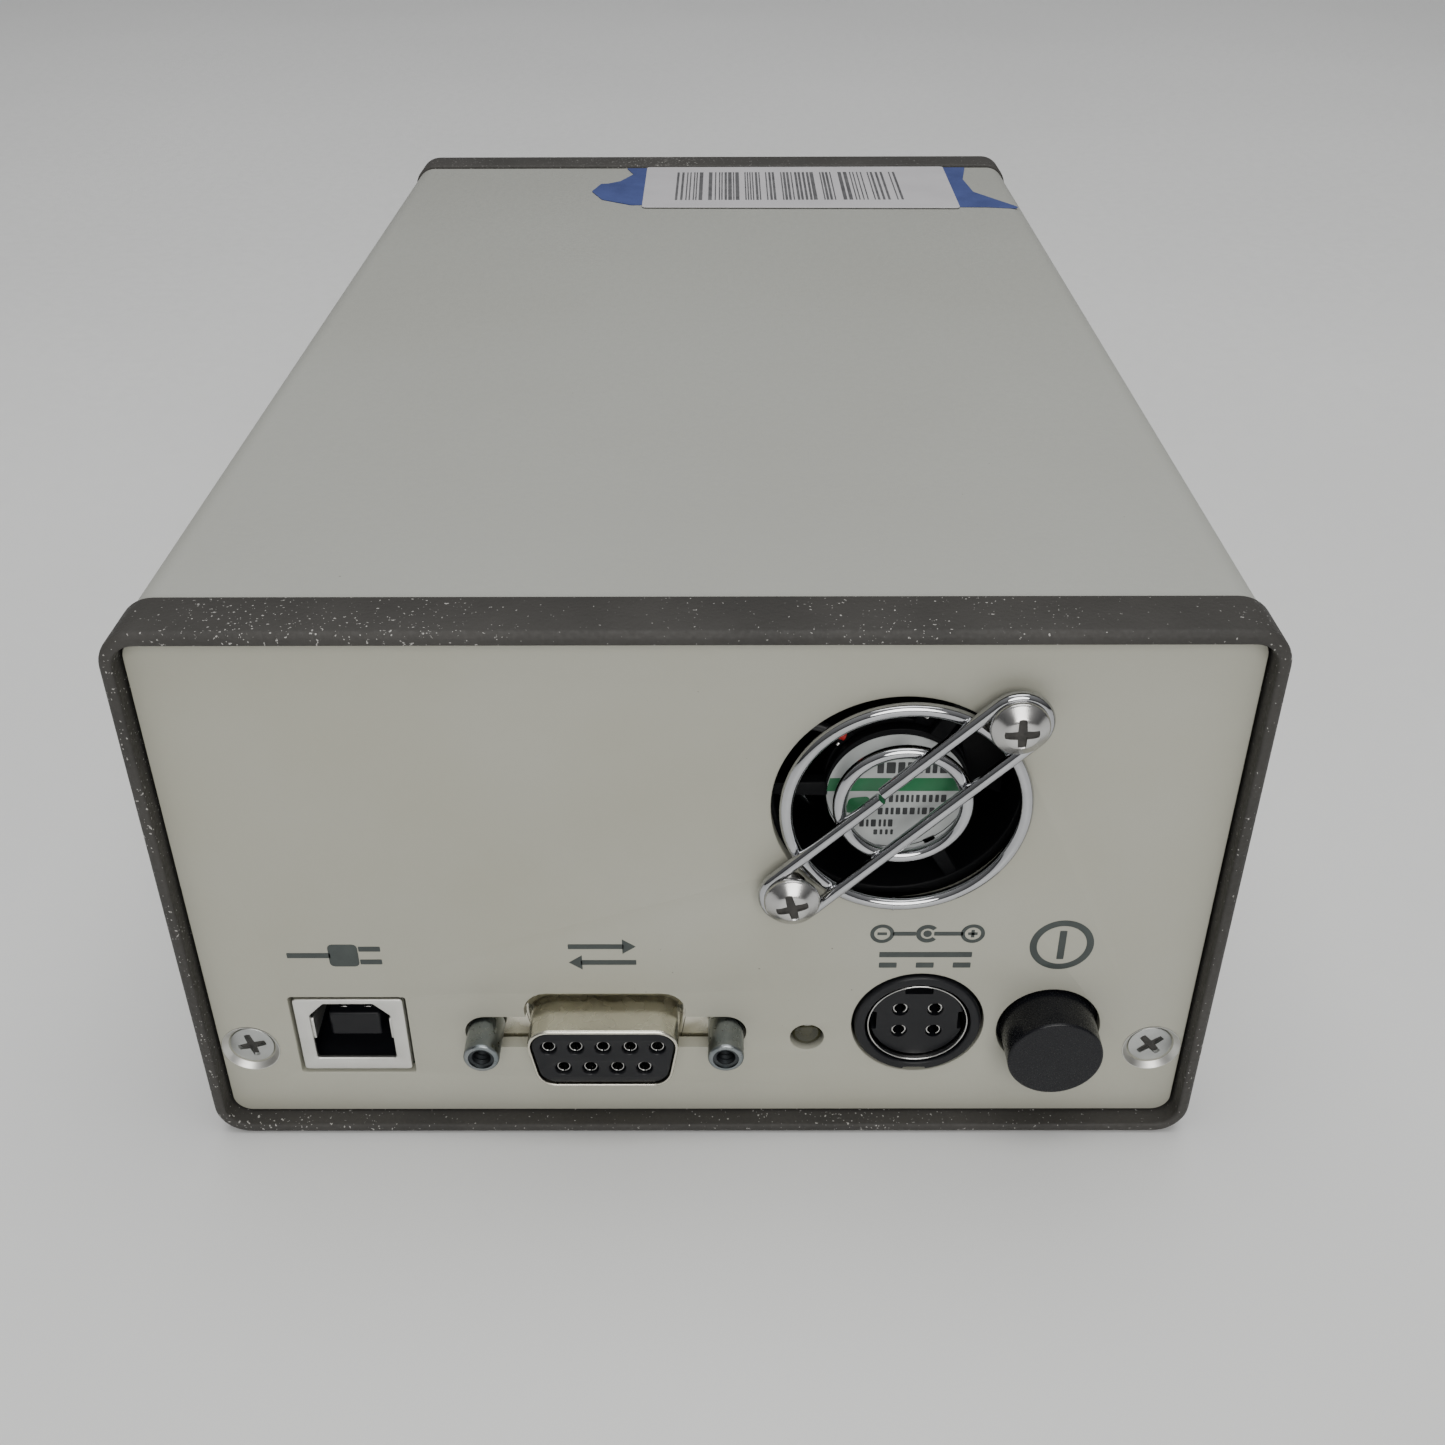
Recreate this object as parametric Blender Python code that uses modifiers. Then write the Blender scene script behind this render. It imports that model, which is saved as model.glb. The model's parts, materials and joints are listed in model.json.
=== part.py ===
"""Cooled astronomy camera: a box of sheet metal with a connector panel and a fan at one end,
and a cooled sensor behind a shutter and a 1.25 inch nosepiece at the other.

Local frame, in millimetres: X across, Y from the rear bezel's face towards the telescope,
Z up from the surface that the bezels stand on. The datum empty puts the origin of the whole
object at the bottom centre of its box.
"""

import math

import bmesh
import bpy
from mathutils import Matrix, Vector

MM = 0.001
GAP = 0.3                    # between neighbours that touch or clamp each other

# Box
BODY_WIDTH = 104.0
BODY_HEIGHT = 62.0
BODY_LENGTH = 172.0
BEZEL_DEPTH = 6.9
BEZEL_LIP = 1.3
BEZEL_LEDGE = 2.6            # lip plus the inner ledge that the panel is clamped to
BEZEL_RADIUS = 3.6
PANEL_RECESS = 2.0
PANEL_THICK = 1.5
COVER_STEP = 0.4             # cover set in from the bezels on each side
COVER_THICK = 1.5
TRAY_THICK = 1.2
TRAY_FLANGE_TOP = 14.0

# Fasteners of the two end panels
END_SCREW_X = 47.25
END_SCREW_Z = 10.75
END_SCREW_HEAD = 2.45
END_SCREW_SHAFT = 1.25
END_SCREW_SINK = 3.0         # radius of the countersink at the panel's face
END_SCREW_DEPTH = 0.5        # the flat head lies this far below the panel's face

# Connector panel, as X and Z of each centre
USB_CENTRE = (-36.3, 12.6)
USB_CUTOUT = (12.1, 10.8)
USB_SHELL = (11.4, 9.95)
DSUB_CENTRE = (-9.85, 13.1)
DSUB_CUTOUT = (17.6, 10.8)
DSUB_SHELL = (16.33, 7.9)
DSUB_SHELL_WALL = 0.4
DSUB_SCREW_SPACING = 25.0
DSUB_PROTRUSION = 4.0
DSUB_PIN_PITCH = 2.77
DSUB_ROW_PITCH = 2.84
JACKSCREW_RADIUS = 1.85
LED_CENTRE = (11.1, 12.3)
LED_RADIUS = 1.55
DIN_CENTRE = (22.5, 14.3)
DIN_RADIUS = 6.55
BUTTON_CENTRE = (36.1, 13.6)
BUTTON_RADIUS = 4.9
BUTTON_PROTRUSION = 4.5
BUTTON_TRAVEL = 2.5

# Fan and its wire guard
FAN_CENTRE = (18.9, 42.75)
FAN_SIZE = 25.0
FAN_DEPTH = 10.0
FAN_SCREW_PITCH = 19.8
FAN_HOLE_RADIUS = 12.1
FAN_HOLE_CENTRE = (19.0, 42.2)
FAN_DUCT_RADIUS = 11.7
FAN_BLADES = 7
HUB_RADIUS = 6.9
GUARD_OUTER_RADIUS = 11.2
GUARD_OUTER_CENTRE = (19.5, 42.35)
GUARD_INNER_RADIUS = 5.95
GUARD_INNER_CENTRE = (19.2, 43.0)
GUARD_WIRE = 0.65
LEAD_ANGLE = 35.0            # how far above level the fan leads leave the frame, on its -X side

# Telescope end
OPTICAL_Z = 31.0
NOSEPIECE_RADIUS = 15.875    # 1.25 inch barrel
NOSEPIECE_BORE = 13.9
NOSEPIECE_END = 30.0         # how far it reaches past the front bezel
SHOULDER_RADIUS = 22.0       # flange that stops on a focuser's drawtube
SHOULDER_THICK = 4.6
MOUNT_RING_RADIUS = 28.0
MOUNT_THREAD_RADIUS = 21.2
MOUNT_RING_THICK = 5.7
RING_SCREW_CIRCLE = 25.1
SHUTTER_AXIS = (26.0, 46.0)
SHUTTER_BLADE_RADIUS = 11.0
CHAMBER_RADIUS = 23.0
FEED_LOW = 27.0              # underside of the chamber's electrical feedthrough
DESICCANT_CENTRE = (-36.0, OPTICAL_Z)

# Board
BOARD_TOP = 6.9
BOARD_THICK = 1.6
BOARD_START = 4.3
BOARD_END = 92.0
BOARD_HALF_WIDTH = 46.0
BOARD_SCREWS = [(-42.0, 30.0), (42.0, 30.0), (-42.0, 84.0), (42.0, 84.0)]

PANEL_BACK = PANEL_RECESS + PANEL_THICK
FRONT_PANEL_FACE = BODY_LENGTH - PANEL_RECESS
FRONT_PANEL_BACK = FRONT_PANEL_FACE - PANEL_THICK
COVER_START = BEZEL_DEPTH + GAP
COVER_END = BODY_LENGTH - BEZEL_DEPTH - GAP
FAN_START = PANEL_BACK + GAP
FAN_END = FAN_START + FAN_DEPTH
REACH = BODY_LENGTH + NOSEPIECE_END
DATUM_Y = -(REACH - (BUTTON_PROTRUSION - PANEL_RECESS)) / 2

COLOURS = {
    # name: (red, green, blue, metallic, roughness)
    "cover_paint": (0.39, 0.39, 0.36, 0.0, 0.55),
    "panel_paint": (0.39, 0.39, 0.34, 0.0, 0.5),
    "bezel_paint": (0.085, 0.083, 0.08, 0.0, 0.6),
    "tray_metal": (0.55, 0.56, 0.57, 0.9, 0.4),
    "screw_metal": (0.7, 0.7, 0.7, 1.0, 0.2),
    "zinc_metal": (0.45, 0.48, 0.5, 1.0, 0.35),
    "tin_metal": (0.6, 0.58, 0.5, 1.0, 0.3),
    "black_plastic": (0.02, 0.02, 0.022, 0.0, 0.4),
    "button_plastic": (0.018, 0.019, 0.023, 0.0, 0.35),
    "lamp_lens": (0.03, 0.03, 0.012, 0.0, 0.2),
    "spring_metal": (0.6, 0.6, 0.6, 1.0, 0.3),
    "guard_chrome": (0.75, 0.75, 0.77, 1.0, 0.08),
    "motor_metal": (0.5, 0.35, 0.2, 1.0, 0.45),
    "board_green": (0.02, 0.12, 0.05, 0.0, 0.5),
    "red_wire": (0.5, 0.02, 0.02, 0.0, 0.4),
    "black_wire": (0.02, 0.02, 0.02, 0.0, 0.4),
    "ribbon_film": (0.5, 0.25, 0.05, 0.0, 0.4),
    "black_anodised": (0.015, 0.015, 0.017, 0.6, 0.35),
    "bare_aluminium": (0.6, 0.61, 0.62, 1.0, 0.35),
    "window_glass": (0.85, 0.9, 0.9, 0.0, 0.02),
    "seal_rubber": (0.02, 0.02, 0.02, 0.0, 0.7),
    "chip_ceramic": (0.3, 0.3, 0.32, 0.0, 0.4),
    "cooler_ceramic": (0.8, 0.8, 0.78, 0.0, 0.5),
    "copper_metal": (0.7, 0.35, 0.2, 1.0, 0.3),
}

AXIS_TURN = {
    "X": Matrix(((0, 0, 1), (1, 0, 0), (0, 1, 0))).to_4x4(),   # outline in Y and Z
    "Y": Matrix(((1, 0, 0), (0, 0, -1), (0, 1, 0))).to_4x4(),  # outline in X and Z
    "Z": Matrix.Identity(4),                                   # outline in X and Y
}


# Scene, collections and materials

def clear_scene():
    for item in list(bpy.data.objects):
        bpy.data.objects.remove(item, do_unlink=True)


def new_collection(name):
    group = bpy.data.collections.new(name)
    bpy.context.scene.collection.children.link(group)
    return group


def make_material(name):
    red, green, blue, metallic, roughness = COLOURS[name]
    material = bpy.data.materials.new(name)
    material.use_nodes = True
    shader = material.node_tree.nodes["Principled BSDF"]
    shader.inputs["Base Color"].default_value = (red, green, blue, 1.0)
    shader.inputs["Metallic"].default_value = metallic
    shader.inputs["Roughness"].default_value = roughness
    return material


# Outlines: lists of points in millimetres

def polar(centre, radius, degrees):
    angle = math.radians(degrees)
    return (centre[0] + radius * math.cos(angle), centre[1] + radius * math.sin(angle))


def circle(centre, radius, sides=20):
    return [polar(centre, radius, 360 * step / sides) for step in range(sides)]


def arc(centre, radius, start, end, steps):
    return [polar(centre, radius, start + (end - start) * step / steps) for step in range(steps + 1)]


def rounded(corners, radius, steps=4):
    """A polygon whose corners become arcs of the given radius."""
    points = []
    count = len(corners)
    for index, corner in enumerate(corners):
        here = Vector(corner)
        before = (Vector(corners[index - 1]) - here).normalized()
        after = (Vector(corners[(index + 1) % count]) - here).normalized()
        half = before.angle(after) / 2
        centre = here + (before + after).normalized() * (radius / math.sin(half))
        first = here + before * (radius / math.tan(half)) - centre
        last = here + after * (radius / math.tan(half)) - centre
        for step in range(steps + 1):
            spoke = first.lerp(last, step / steps).normalized() * radius
            points.append(tuple(centre + spoke))
    return points


def rectangle(centre, width, height):
    left, right = centre[0] - width / 2, centre[0] + width / 2
    low, high = centre[1] - height / 2, centre[1] + height / 2
    return [(left, low), (right, low), (right, high), (left, high)]


def rounded_rectangle(centre, width, height, radius, steps=4):
    return rounded(rectangle(centre, width, height), radius, steps)


def slot(first, last, radius, steps=8):
    """Two half circles joined by straight sides."""
    heading = math.degrees(math.atan2(last[1] - first[1], last[0] - first[0]))
    return arc(last, radius, heading - 90, heading + 90, steps) + arc(
        first, radius, heading + 90, heading + 270, steps
    )


def d_outline(centre, width, height, radius, steps=3):
    """The D connector's outline, wide at the top, with sides that lean in by 10 degrees."""
    lean = height * math.tan(math.radians(10))
    low, high = centre[1] - height / 2, centre[1] + height / 2
    corners = [
        (centre[0] - width / 2 + lean, low),
        (centre[0] + width / 2 - lean, low),
        (centre[0] + width / 2, high),
        (centre[0] - width / 2, high),
    ]
    return rounded(corners, radius, steps)


def belt(large, large_radius, small, small_radius, steps=12):
    """The outline of a tight belt round two circles."""
    run = Vector(small) - Vector(large)
    heading = math.degrees(math.atan2(run.y, run.x))
    wrap = math.degrees(math.acos((large_radius - small_radius) / run.length))
    return arc(large, large_radius, heading + wrap, heading + 360 - wrap, steps) + arc(
        small, small_radius, heading - wrap, heading + wrap, steps // 2
    )


# Solids: every one is built in the local frame, then given its origin and parent

def place(item, origin=(0.0, 0.0, 0.0)):
    """Move the mesh so that the object's origin is at the given local point."""
    point = Vector(origin) * MM
    item.data.transform(Matrix.Translation(-point))
    item.location = point
    item.parent = datum
    return item


def add_part(name, mesh, material, origin=(0.0, 0.0, 0.0)):
    mesh.name = name
    item = bpy.data.objects.new(name, mesh)
    mesh.materials.append(materials[material])
    parts.objects.link(item)
    return place(item, origin)


def add_cutter(name, mesh):
    item = bpy.data.objects.new(name, mesh)
    cutters.objects.link(item)
    item.hide_render = True
    item.display_type = "WIRE"
    return place(item)


def curve_mesh(curve, turn=None):
    """A curve made a closed mesh, its caps welded to its sides."""
    holder = bpy.data.objects.new("curve_holder", curve)
    bpy.context.scene.collection.objects.link(holder)
    graph = bpy.context.evaluated_depsgraph_get()
    mesh = bpy.data.meshes.new_from_object(holder.evaluated_get(graph))
    bpy.data.objects.remove(holder)
    work = bmesh.new()
    work.from_mesh(mesh)
    bmesh.ops.remove_doubles(work, verts=work.verts, dist=0.000001)
    bmesh.ops.recalc_face_normals(work, faces=work.faces)
    work.to_mesh(mesh)
    work.free()
    mesh.materials.clear()
    if turn is not None:
        mesh.transform(turn)
    return mesh


def plate_mesh(loops, axis, low, high):
    """Flat outlines, the first one outside and the rest holes, thickened along an axis."""
    curve = bpy.data.curves.new("outline", "CURVE")
    curve.dimensions = "2D"
    curve.fill_mode = "BOTH"
    curve.extrude = (high - low) / 2 * MM
    for loop in loops:
        spline = curve.splines.new("POLY")
        spline.points.add(len(loop) - 1)
        for point, (u, v) in zip(spline.points, loop):
            point.co = (u * MM, v * MM, 0.0, 1.0)
        spline.use_cyclic_u = True
    middle = (low + high) / 2 * MM
    shift = {"X": (middle, 0, 0), "Y": (0, middle, 0), "Z": (0, 0, middle)}[axis]
    return curve_mesh(curve, Matrix.Translation(shift) @ AXIS_TURN[axis])


def plate(name, loops, axis, low, high, material, origin=(0.0, 0.0, 0.0)):
    return add_part(name, plate_mesh(loops, axis, low, high), material, origin)


def box_mesh(low, high):
    work = bmesh.new()
    size = Vector(high) - Vector(low)
    middle = (Vector(high) + Vector(low)) / 2 * MM
    shape = Matrix.Translation(middle) @ Matrix.Diagonal((*(size * MM), 1.0))
    bmesh.ops.create_cube(work, size=1.0, matrix=shape)
    mesh = bpy.data.meshes.new("box")
    work.to_mesh(mesh)
    work.free()
    return mesh


def rod_mesh(centre, radius, low, high, sides=20, low_radius=None):
    """A cylinder along Y, or a cone when its low end has a radius of its own."""
    work = bmesh.new()
    middle = Vector((centre[0], (low + high) / 2, centre[1])) * MM
    shape = Matrix.Translation(middle) @ Matrix.Rotation(math.radians(90), 4, "X")
    bmesh.ops.create_cone(
        work,
        cap_ends=True,
        segments=sides,
        radius1=radius * MM,
        radius2=(low_radius or radius) * MM,
        depth=(high - low) * MM,
        matrix=shape,
    )
    mesh = bpy.data.meshes.new("rod")
    work.to_mesh(mesh)
    work.free()
    return mesh


def turned(name, profile, centre, material, sides=24, closed=False):
    """A profile of radius and Y, from its far end down the outer side, turned about a line along Y."""
    work = bmesh.new()
    verts = [work.verts.new((radius * MM, 0.0, along * MM)) for radius, along in profile]
    for first, last in zip(verts, verts[1:]):
        work.edges.new((first, last))
    if closed:
        work.edges.new((verts[-1], verts[0]))
    mesh = bpy.data.meshes.new(name)
    work.to_mesh(mesh)
    work.free()
    mesh.materials.append(materials[material])
    item = bpy.data.objects.new(name, mesh)
    parts.objects.link(item)
    item.location = Vector((centre[0], 0.0, centre[1])) * MM
    item.rotation_euler = (math.radians(-90), 0.0, 0.0)
    item.parent = datum
    screw = item.modifiers.new("turn", "SCREW")
    screw.axis = "Z"
    screw.angle = 2 * math.pi
    screw.steps = sides
    screw.render_steps = sides
    screw.use_merge_vertices = True
    screw.merge_threshold = 0.00001
    screw.use_smooth_shade = False
    return item


def wire_mesh(points, radius, cyclic=False, sides=8):
    """Round wire along a run of points."""
    curve = bpy.data.curves.new("wire", "CURVE")
    curve.dimensions = "3D"
    curve.bevel_depth = radius * MM
    curve.bevel_resolution = sides // 2 - 2
    curve.use_fill_caps = True
    spline = curve.splines.new("POLY")
    spline.points.add(len(points) - 1)
    for point, place_mm in zip(spline.points, points):
        point.co = (*(Vector(place_mm) * MM), 1.0)
    spline.use_cyclic_u = cyclic
    return curve_mesh(curve)


def combine(item, mesh, operation):
    """Cut a solid away from a part, or join one to it."""
    number = len(item.modifiers)
    tool = add_cutter(f"{item.name}_{operation.lower()}_{number}", mesh)
    change = item.modifiers.new(f"{operation.lower()}_{number}", "BOOLEAN")
    change.operation = operation
    change.solver = "EXACT"
    change.object = tool
    return item


def cut(item, mesh):
    return combine(item, mesh, "DIFFERENCE")


def join(item, mesh):
    return combine(item, mesh, "UNION")


def merged(meshes):
    """Several separate closed meshes as one, for a single cut or join."""
    work = bmesh.new()
    for mesh in meshes:
        work.from_mesh(mesh)
    result = bpy.data.meshes.new("merged")
    work.to_mesh(result)
    work.free()
    return result


def turned_about_fan(mesh, angle):
    pivot = Vector((FAN_CENTRE[0], 0.0, FAN_CENTRE[1])) * MM
    spin = Matrix.Rotation(math.radians(angle), 4, "Y")
    mesh.transform(Matrix.Translation(pivot) @ spin @ Matrix.Translation(-pivot))
    return mesh


# Fasteners

def cross_outline(centre, head_radius):
    arm = head_radius * 0.55
    root = head_radius * 0.17
    tip = 13.0
    outline = []
    for quarter in range(4):
        outline += arc(centre, arm, quarter * 90 - tip, quarter * 90 + tip, 1)
        outline.append(polar(centre, root * math.sqrt(2), quarter * 90 + 45))
    return outline


def sunk_screw(name, centre, panel_face, shaft_end, facing=1):
    """A countersunk screw of an end panel; facing 1 has the head towards -Y, and -1 towards +Y."""
    face = panel_face + facing * END_SCREW_DEPTH
    neck = face + facing * (END_SCREW_HEAD - END_SCREW_SHAFT)
    profile = [
        (0.0, shaft_end), (END_SCREW_SHAFT, shaft_end), (END_SCREW_SHAFT, neck), (END_SCREW_HEAD, face),
        (0.0, face),
    ]
    if facing < 0:
        profile.reverse()
    screw = turned(name, profile, centre, "screw_metal", 14)
    low, high = sorted((face - facing, face + facing * 1.0))
    return cut(screw, plate_mesh([cross_outline(centre, END_SCREW_HEAD * 1.1)], "Y", low, high))


def pan_screw(name, centre, seat, head_radius, head_height, shaft_radius, shaft_end, facing=1):
    """A pan head with a cross recess; facing 1 has the head towards -Y, and -1 towards +Y."""
    edge = seat - facing * head_height * 0.4
    brow = seat - facing * head_height * 0.85
    crown = seat - facing * head_height
    profile = [
        (0.0, shaft_end),
        (shaft_radius, shaft_end),
        (shaft_radius, seat),
        (head_radius, seat),
        (head_radius, edge),
        (head_radius * 0.78, brow),
        (0.0, crown),
    ]
    if facing < 0:
        profile.reverse()
    screw = turned(name, profile, centre, "screw_metal", 14)
    recess_end = crown + facing * head_height * 0.6
    low, high = sorted((crown - facing, recess_end))
    return cut(screw, plate_mesh([cross_outline(centre, head_radius)], "Y", low, high))


def flat_screw(name, centre, seat, head_radius, head_height, shaft_radius, shaft_end):
    """A low cylinder head towards +Y with a slot across it."""
    crown = seat + head_height
    profile = [
        (0.0, crown),
        (head_radius * 0.9, crown),
        (head_radius, crown - 0.3),
        (head_radius, seat),
        (shaft_radius, seat),
        (shaft_radius, shaft_end),
        (0.0, shaft_end),
    ]
    screw = turned(name, profile, centre, "screw_metal", 12)
    low = (centre[0] - head_radius * 2, crown - head_height * 0.5, centre[1] - 0.3)
    high = (centre[0] + head_radius * 2, crown + 1.0, centre[1] + 0.3)
    return cut(screw, box_mesh(low, high))


# Casing

def make_cover():
    half = BODY_WIDTH / 2 - COVER_STEP
    top = BODY_HEIGHT - COVER_STEP
    foot = 0.5
    radius = BEZEL_RADIUS - COVER_STEP
    inner = half - COVER_THICK
    roof = top - COVER_THICK
    inner_radius = radius - COVER_THICK
    outline = [(-half, foot)]
    outline += arc((-half + radius, top - radius), radius, 180, 90, 6)
    outline += arc((half - radius, top - radius), radius, 90, 0, 6)
    outline += [(half, foot), (inner, foot)]
    outline += arc((inner - inner_radius, roof - inner_radius), inner_radius, 0, 90, 4)
    outline += arc((-inner + inner_radius, roof - inner_radius), inner_radius, 90, 180, 4)
    outline += [(-inner, foot)]
    return plate("top_cover", [outline], "Y", COVER_START, COVER_END, "cover_paint")


def make_tray():
    """A shallow channel with a boss for each end screw and a post for each board screw."""
    half = BODY_WIDTH / 2 - COVER_STEP - COVER_THICK - GAP
    floor_low = 0.5
    floor_high = floor_low + COVER_THICK
    inner = half - TRAY_THICK
    outline = [
        (-half, TRAY_FLANGE_TOP), (-half, floor_low), (half, floor_low), (half, TRAY_FLANGE_TOP),
        (inner, TRAY_FLANGE_TOP), (inner, floor_high), (-inner, floor_high), (-inner, TRAY_FLANGE_TOP),
    ]
    tray = plate("base_tray", [outline], "Y", COVER_START, COVER_END, "tray_metal")
    boss_half = 2.8
    boss_long = 10.0
    inset = 0.4
    blocks = []
    bores = []
    for side in (-1, 1):
        outer = side * (half - 0.6)
        inside = side * (END_SCREW_X - boss_half)
        for start in (COVER_START + inset, COVER_END - inset - boss_long):
            low = (min(outer, inside), start, END_SCREW_Z - boss_half)
            high = (max(outer, inside), start + boss_long, END_SCREW_Z + boss_half)
            blocks.append(box_mesh(low, high))
        centre = (side * END_SCREW_X, END_SCREW_Z)
        bore_radius = END_SCREW_SHAFT + 0.35
        bores.append(rod_mesh(centre, bore_radius, COVER_START - 1, COVER_START + 9.4, 8))
        bores.append(rod_mesh(centre, bore_radius, COVER_END - 9.4, COVER_END + 1, 8))
    join(tray, merged(blocks))
    post_top = BOARD_TOP - BOARD_THICK - GAP
    posts = []
    for across, along in BOARD_SCREWS:
        loops = [circle((across, along), 2.4, 8), circle((across, along), 1.3, 8)]
        posts.append(plate_mesh(loops, "Z", floor_high - 0.2, post_top))
    join(tray, merged(posts))
    cut(tray, merged(bores))
    return tray


def make_bezel(name, face, inward):
    """A frame with a lip round the panel and a ledge behind it; inward is +1 or -1 along Y."""
    middle = (0.0, BODY_HEIGHT / 2)
    outer = rounded_rectangle(middle, BODY_WIDTH, BODY_HEIGHT, BEZEL_RADIUS, 6)
    ledge = rounded_rectangle(
        middle, BODY_WIDTH - 2 * BEZEL_LEDGE, BODY_HEIGHT - 2 * BEZEL_LEDGE, 1.2, 3
    )
    low, high = sorted((face, face + inward * BEZEL_DEPTH))
    bezel = plate(name, [outer, ledge], "Y", low, high, "bezel_paint")
    pocket = rounded_rectangle(
        middle, BODY_WIDTH - 2 * BEZEL_LIP, BODY_HEIGHT - 2 * BEZEL_LIP, 2.2, 4
    )
    low, high = sorted((face - inward, face + inward * (PANEL_BACK + GAP)))
    return cut(bezel, plate_mesh([pocket], "Y", low, high))


def panel_outline():
    margin = 2 * (BEZEL_LIP + GAP)
    return rounded_rectangle(
        (0.0, BODY_HEIGHT / 2), BODY_WIDTH - margin, BODY_HEIGHT - margin, 1.9, 4
    )


def end_screw_holes():
    radius = END_SCREW_SHAFT + 0.35
    return [circle((side * END_SCREW_X, END_SCREW_Z), radius, 8) for side in (-1, 1)]


def countersink(panel, face, facing):
    """Conical seats for the two end screws, opening at the panel's outer face."""
    for side in (-1, 1):
        centre = (side * END_SCREW_X, END_SCREW_Z)
        wide, narrow = END_SCREW_SINK + 0.5, END_SCREW_SINK - 1.5
        low, high = sorted((face - facing * 0.5, face + facing * 1.5))
        cone = rod_mesh(centre, narrow if facing > 0 else wide, low, high, 14, wide if facing > 0 else narrow)
        cut(panel, cone)
    return panel


def fan_screw_centres():
    half = FAN_SCREW_PITCH / 2
    upper = (FAN_CENTRE[0] + half, FAN_CENTRE[1] + half)
    lower = (FAN_CENTRE[0] - half, FAN_CENTRE[1] - half)
    return upper, lower


def make_rear_panel():
    loops = [panel_outline()]
    loops += end_screw_holes()
    loops.append(rounded_rectangle(USB_CENTRE, *USB_CUTOUT, 0.4, 2))
    loops.append(circle(FAN_HOLE_CENTRE, FAN_HOLE_RADIUS, 32))
    loops += [circle(centre, 1.45, 8) for centre in fan_screw_centres()]
    loops.append(circle(LED_CENTRE, LED_RADIUS + 0.2, 12))
    loops.append(circle(DIN_CENTRE, DIN_RADIUS + GAP, 20))
    loops.append(circle(BUTTON_CENTRE, BUTTON_RADIUS + 0.45, 18))
    panel = plate("rear_panel", loops, "Y", PANEL_RECESS, PANEL_BACK, "panel_paint")
    countersink(panel, PANEL_RECESS, 1)
    low, high = PANEL_RECESS - 1, PANEL_BACK + 1
    cut(panel, plate_mesh([d_outline(DSUB_CENTRE, *DSUB_CUTOUT, 1.4)], "Y", low, high))
    left, right = jackscrew_centres()
    return cut(panel, plate_mesh([slot(left, right, 2.15, 7)], "Y", low, high))


def make_front_panel():
    middle = (0.0, OPTICAL_Z)
    loops = [panel_outline()]
    loops += end_screw_holes()
    loops.append(circle(middle, NOSEPIECE_BORE + 0.6, 24))
    loops += [circle(centre, 1.5, 8) for centre in ring_screw_centres()]
    loops.append(circle(DESICCANT_CENTRE, 5.4, 14))
    panel = plate("front_panel", loops, "Y", FRONT_PANEL_BACK, FRONT_PANEL_FACE, "panel_paint")
    return countersink(panel, FRONT_PANEL_FACE, -1)


# Connectors

def make_usb():
    shell_depth = 16.0
    face = PANEL_RECESS + 0.1
    skin = 0.5
    back = face + shell_depth
    outline = rounded_rectangle(USB_CENTRE, *USB_SHELL, 0.35, 2)
    shell = plate("usb_shell", [outline], "Y", face, back, "tin_metal")
    inside = rectangle(USB_CENTRE, USB_SHELL[0] - 2 * skin, USB_SHELL[1] - 2 * skin)
    cut(shell, plate_mesh([inside], "Y", face + skin, back + 1))
    cut(shell, plate_mesh([usb_mouth()], "Y", face - 1, face + 1))
    core = rectangle(USB_CENTRE, USB_SHELL[0] - 2 * skin - 0.6, USB_SHELL[1] - 2 * skin - 0.6)
    insulator = plate("usb_insulator", [core], "Y", face + 9.0, back - 0.4, "black_plastic")
    tongue = rounded_rectangle((USB_CENTRE[0], USB_CENTRE[1] + 0.1), 5.4, 3.2, 0.3, 2)
    join(insulator, plate_mesh([tongue], "Y", face + 1.5, face + 9.2))
    return shell, insulator


def usb_mouth():
    """The square port's opening, its two upper corners cut off."""
    half = 4.17
    low, high = USB_CENTRE[1] - 3.35, USB_CENTRE[1] + 4.3
    clip = 1.6
    middle = USB_CENTRE[0]
    return [
        (middle - half, low), (middle + half, low), (middle + half, high - clip),
        (middle + half - clip, high), (middle - half + clip, high), (middle - half, high - clip),
    ]


def jackscrew_centres():
    half = DSUB_SCREW_SPACING / 2
    return [(DSUB_CENTRE[0] + side * half, DSUB_CENTRE[1]) for side in (-1, 1)]


def dsub_pin_centres():
    pins = []
    for row, count in ((1, 5), (-1, 4)):
        for index in range(count):
            across = DSUB_CENTRE[0] + (index - (count - 1) / 2) * DSUB_PIN_PITCH
            pins.append((across, DSUB_CENTRE[1] + row * DSUB_ROW_PITCH / 2))
    return pins


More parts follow.
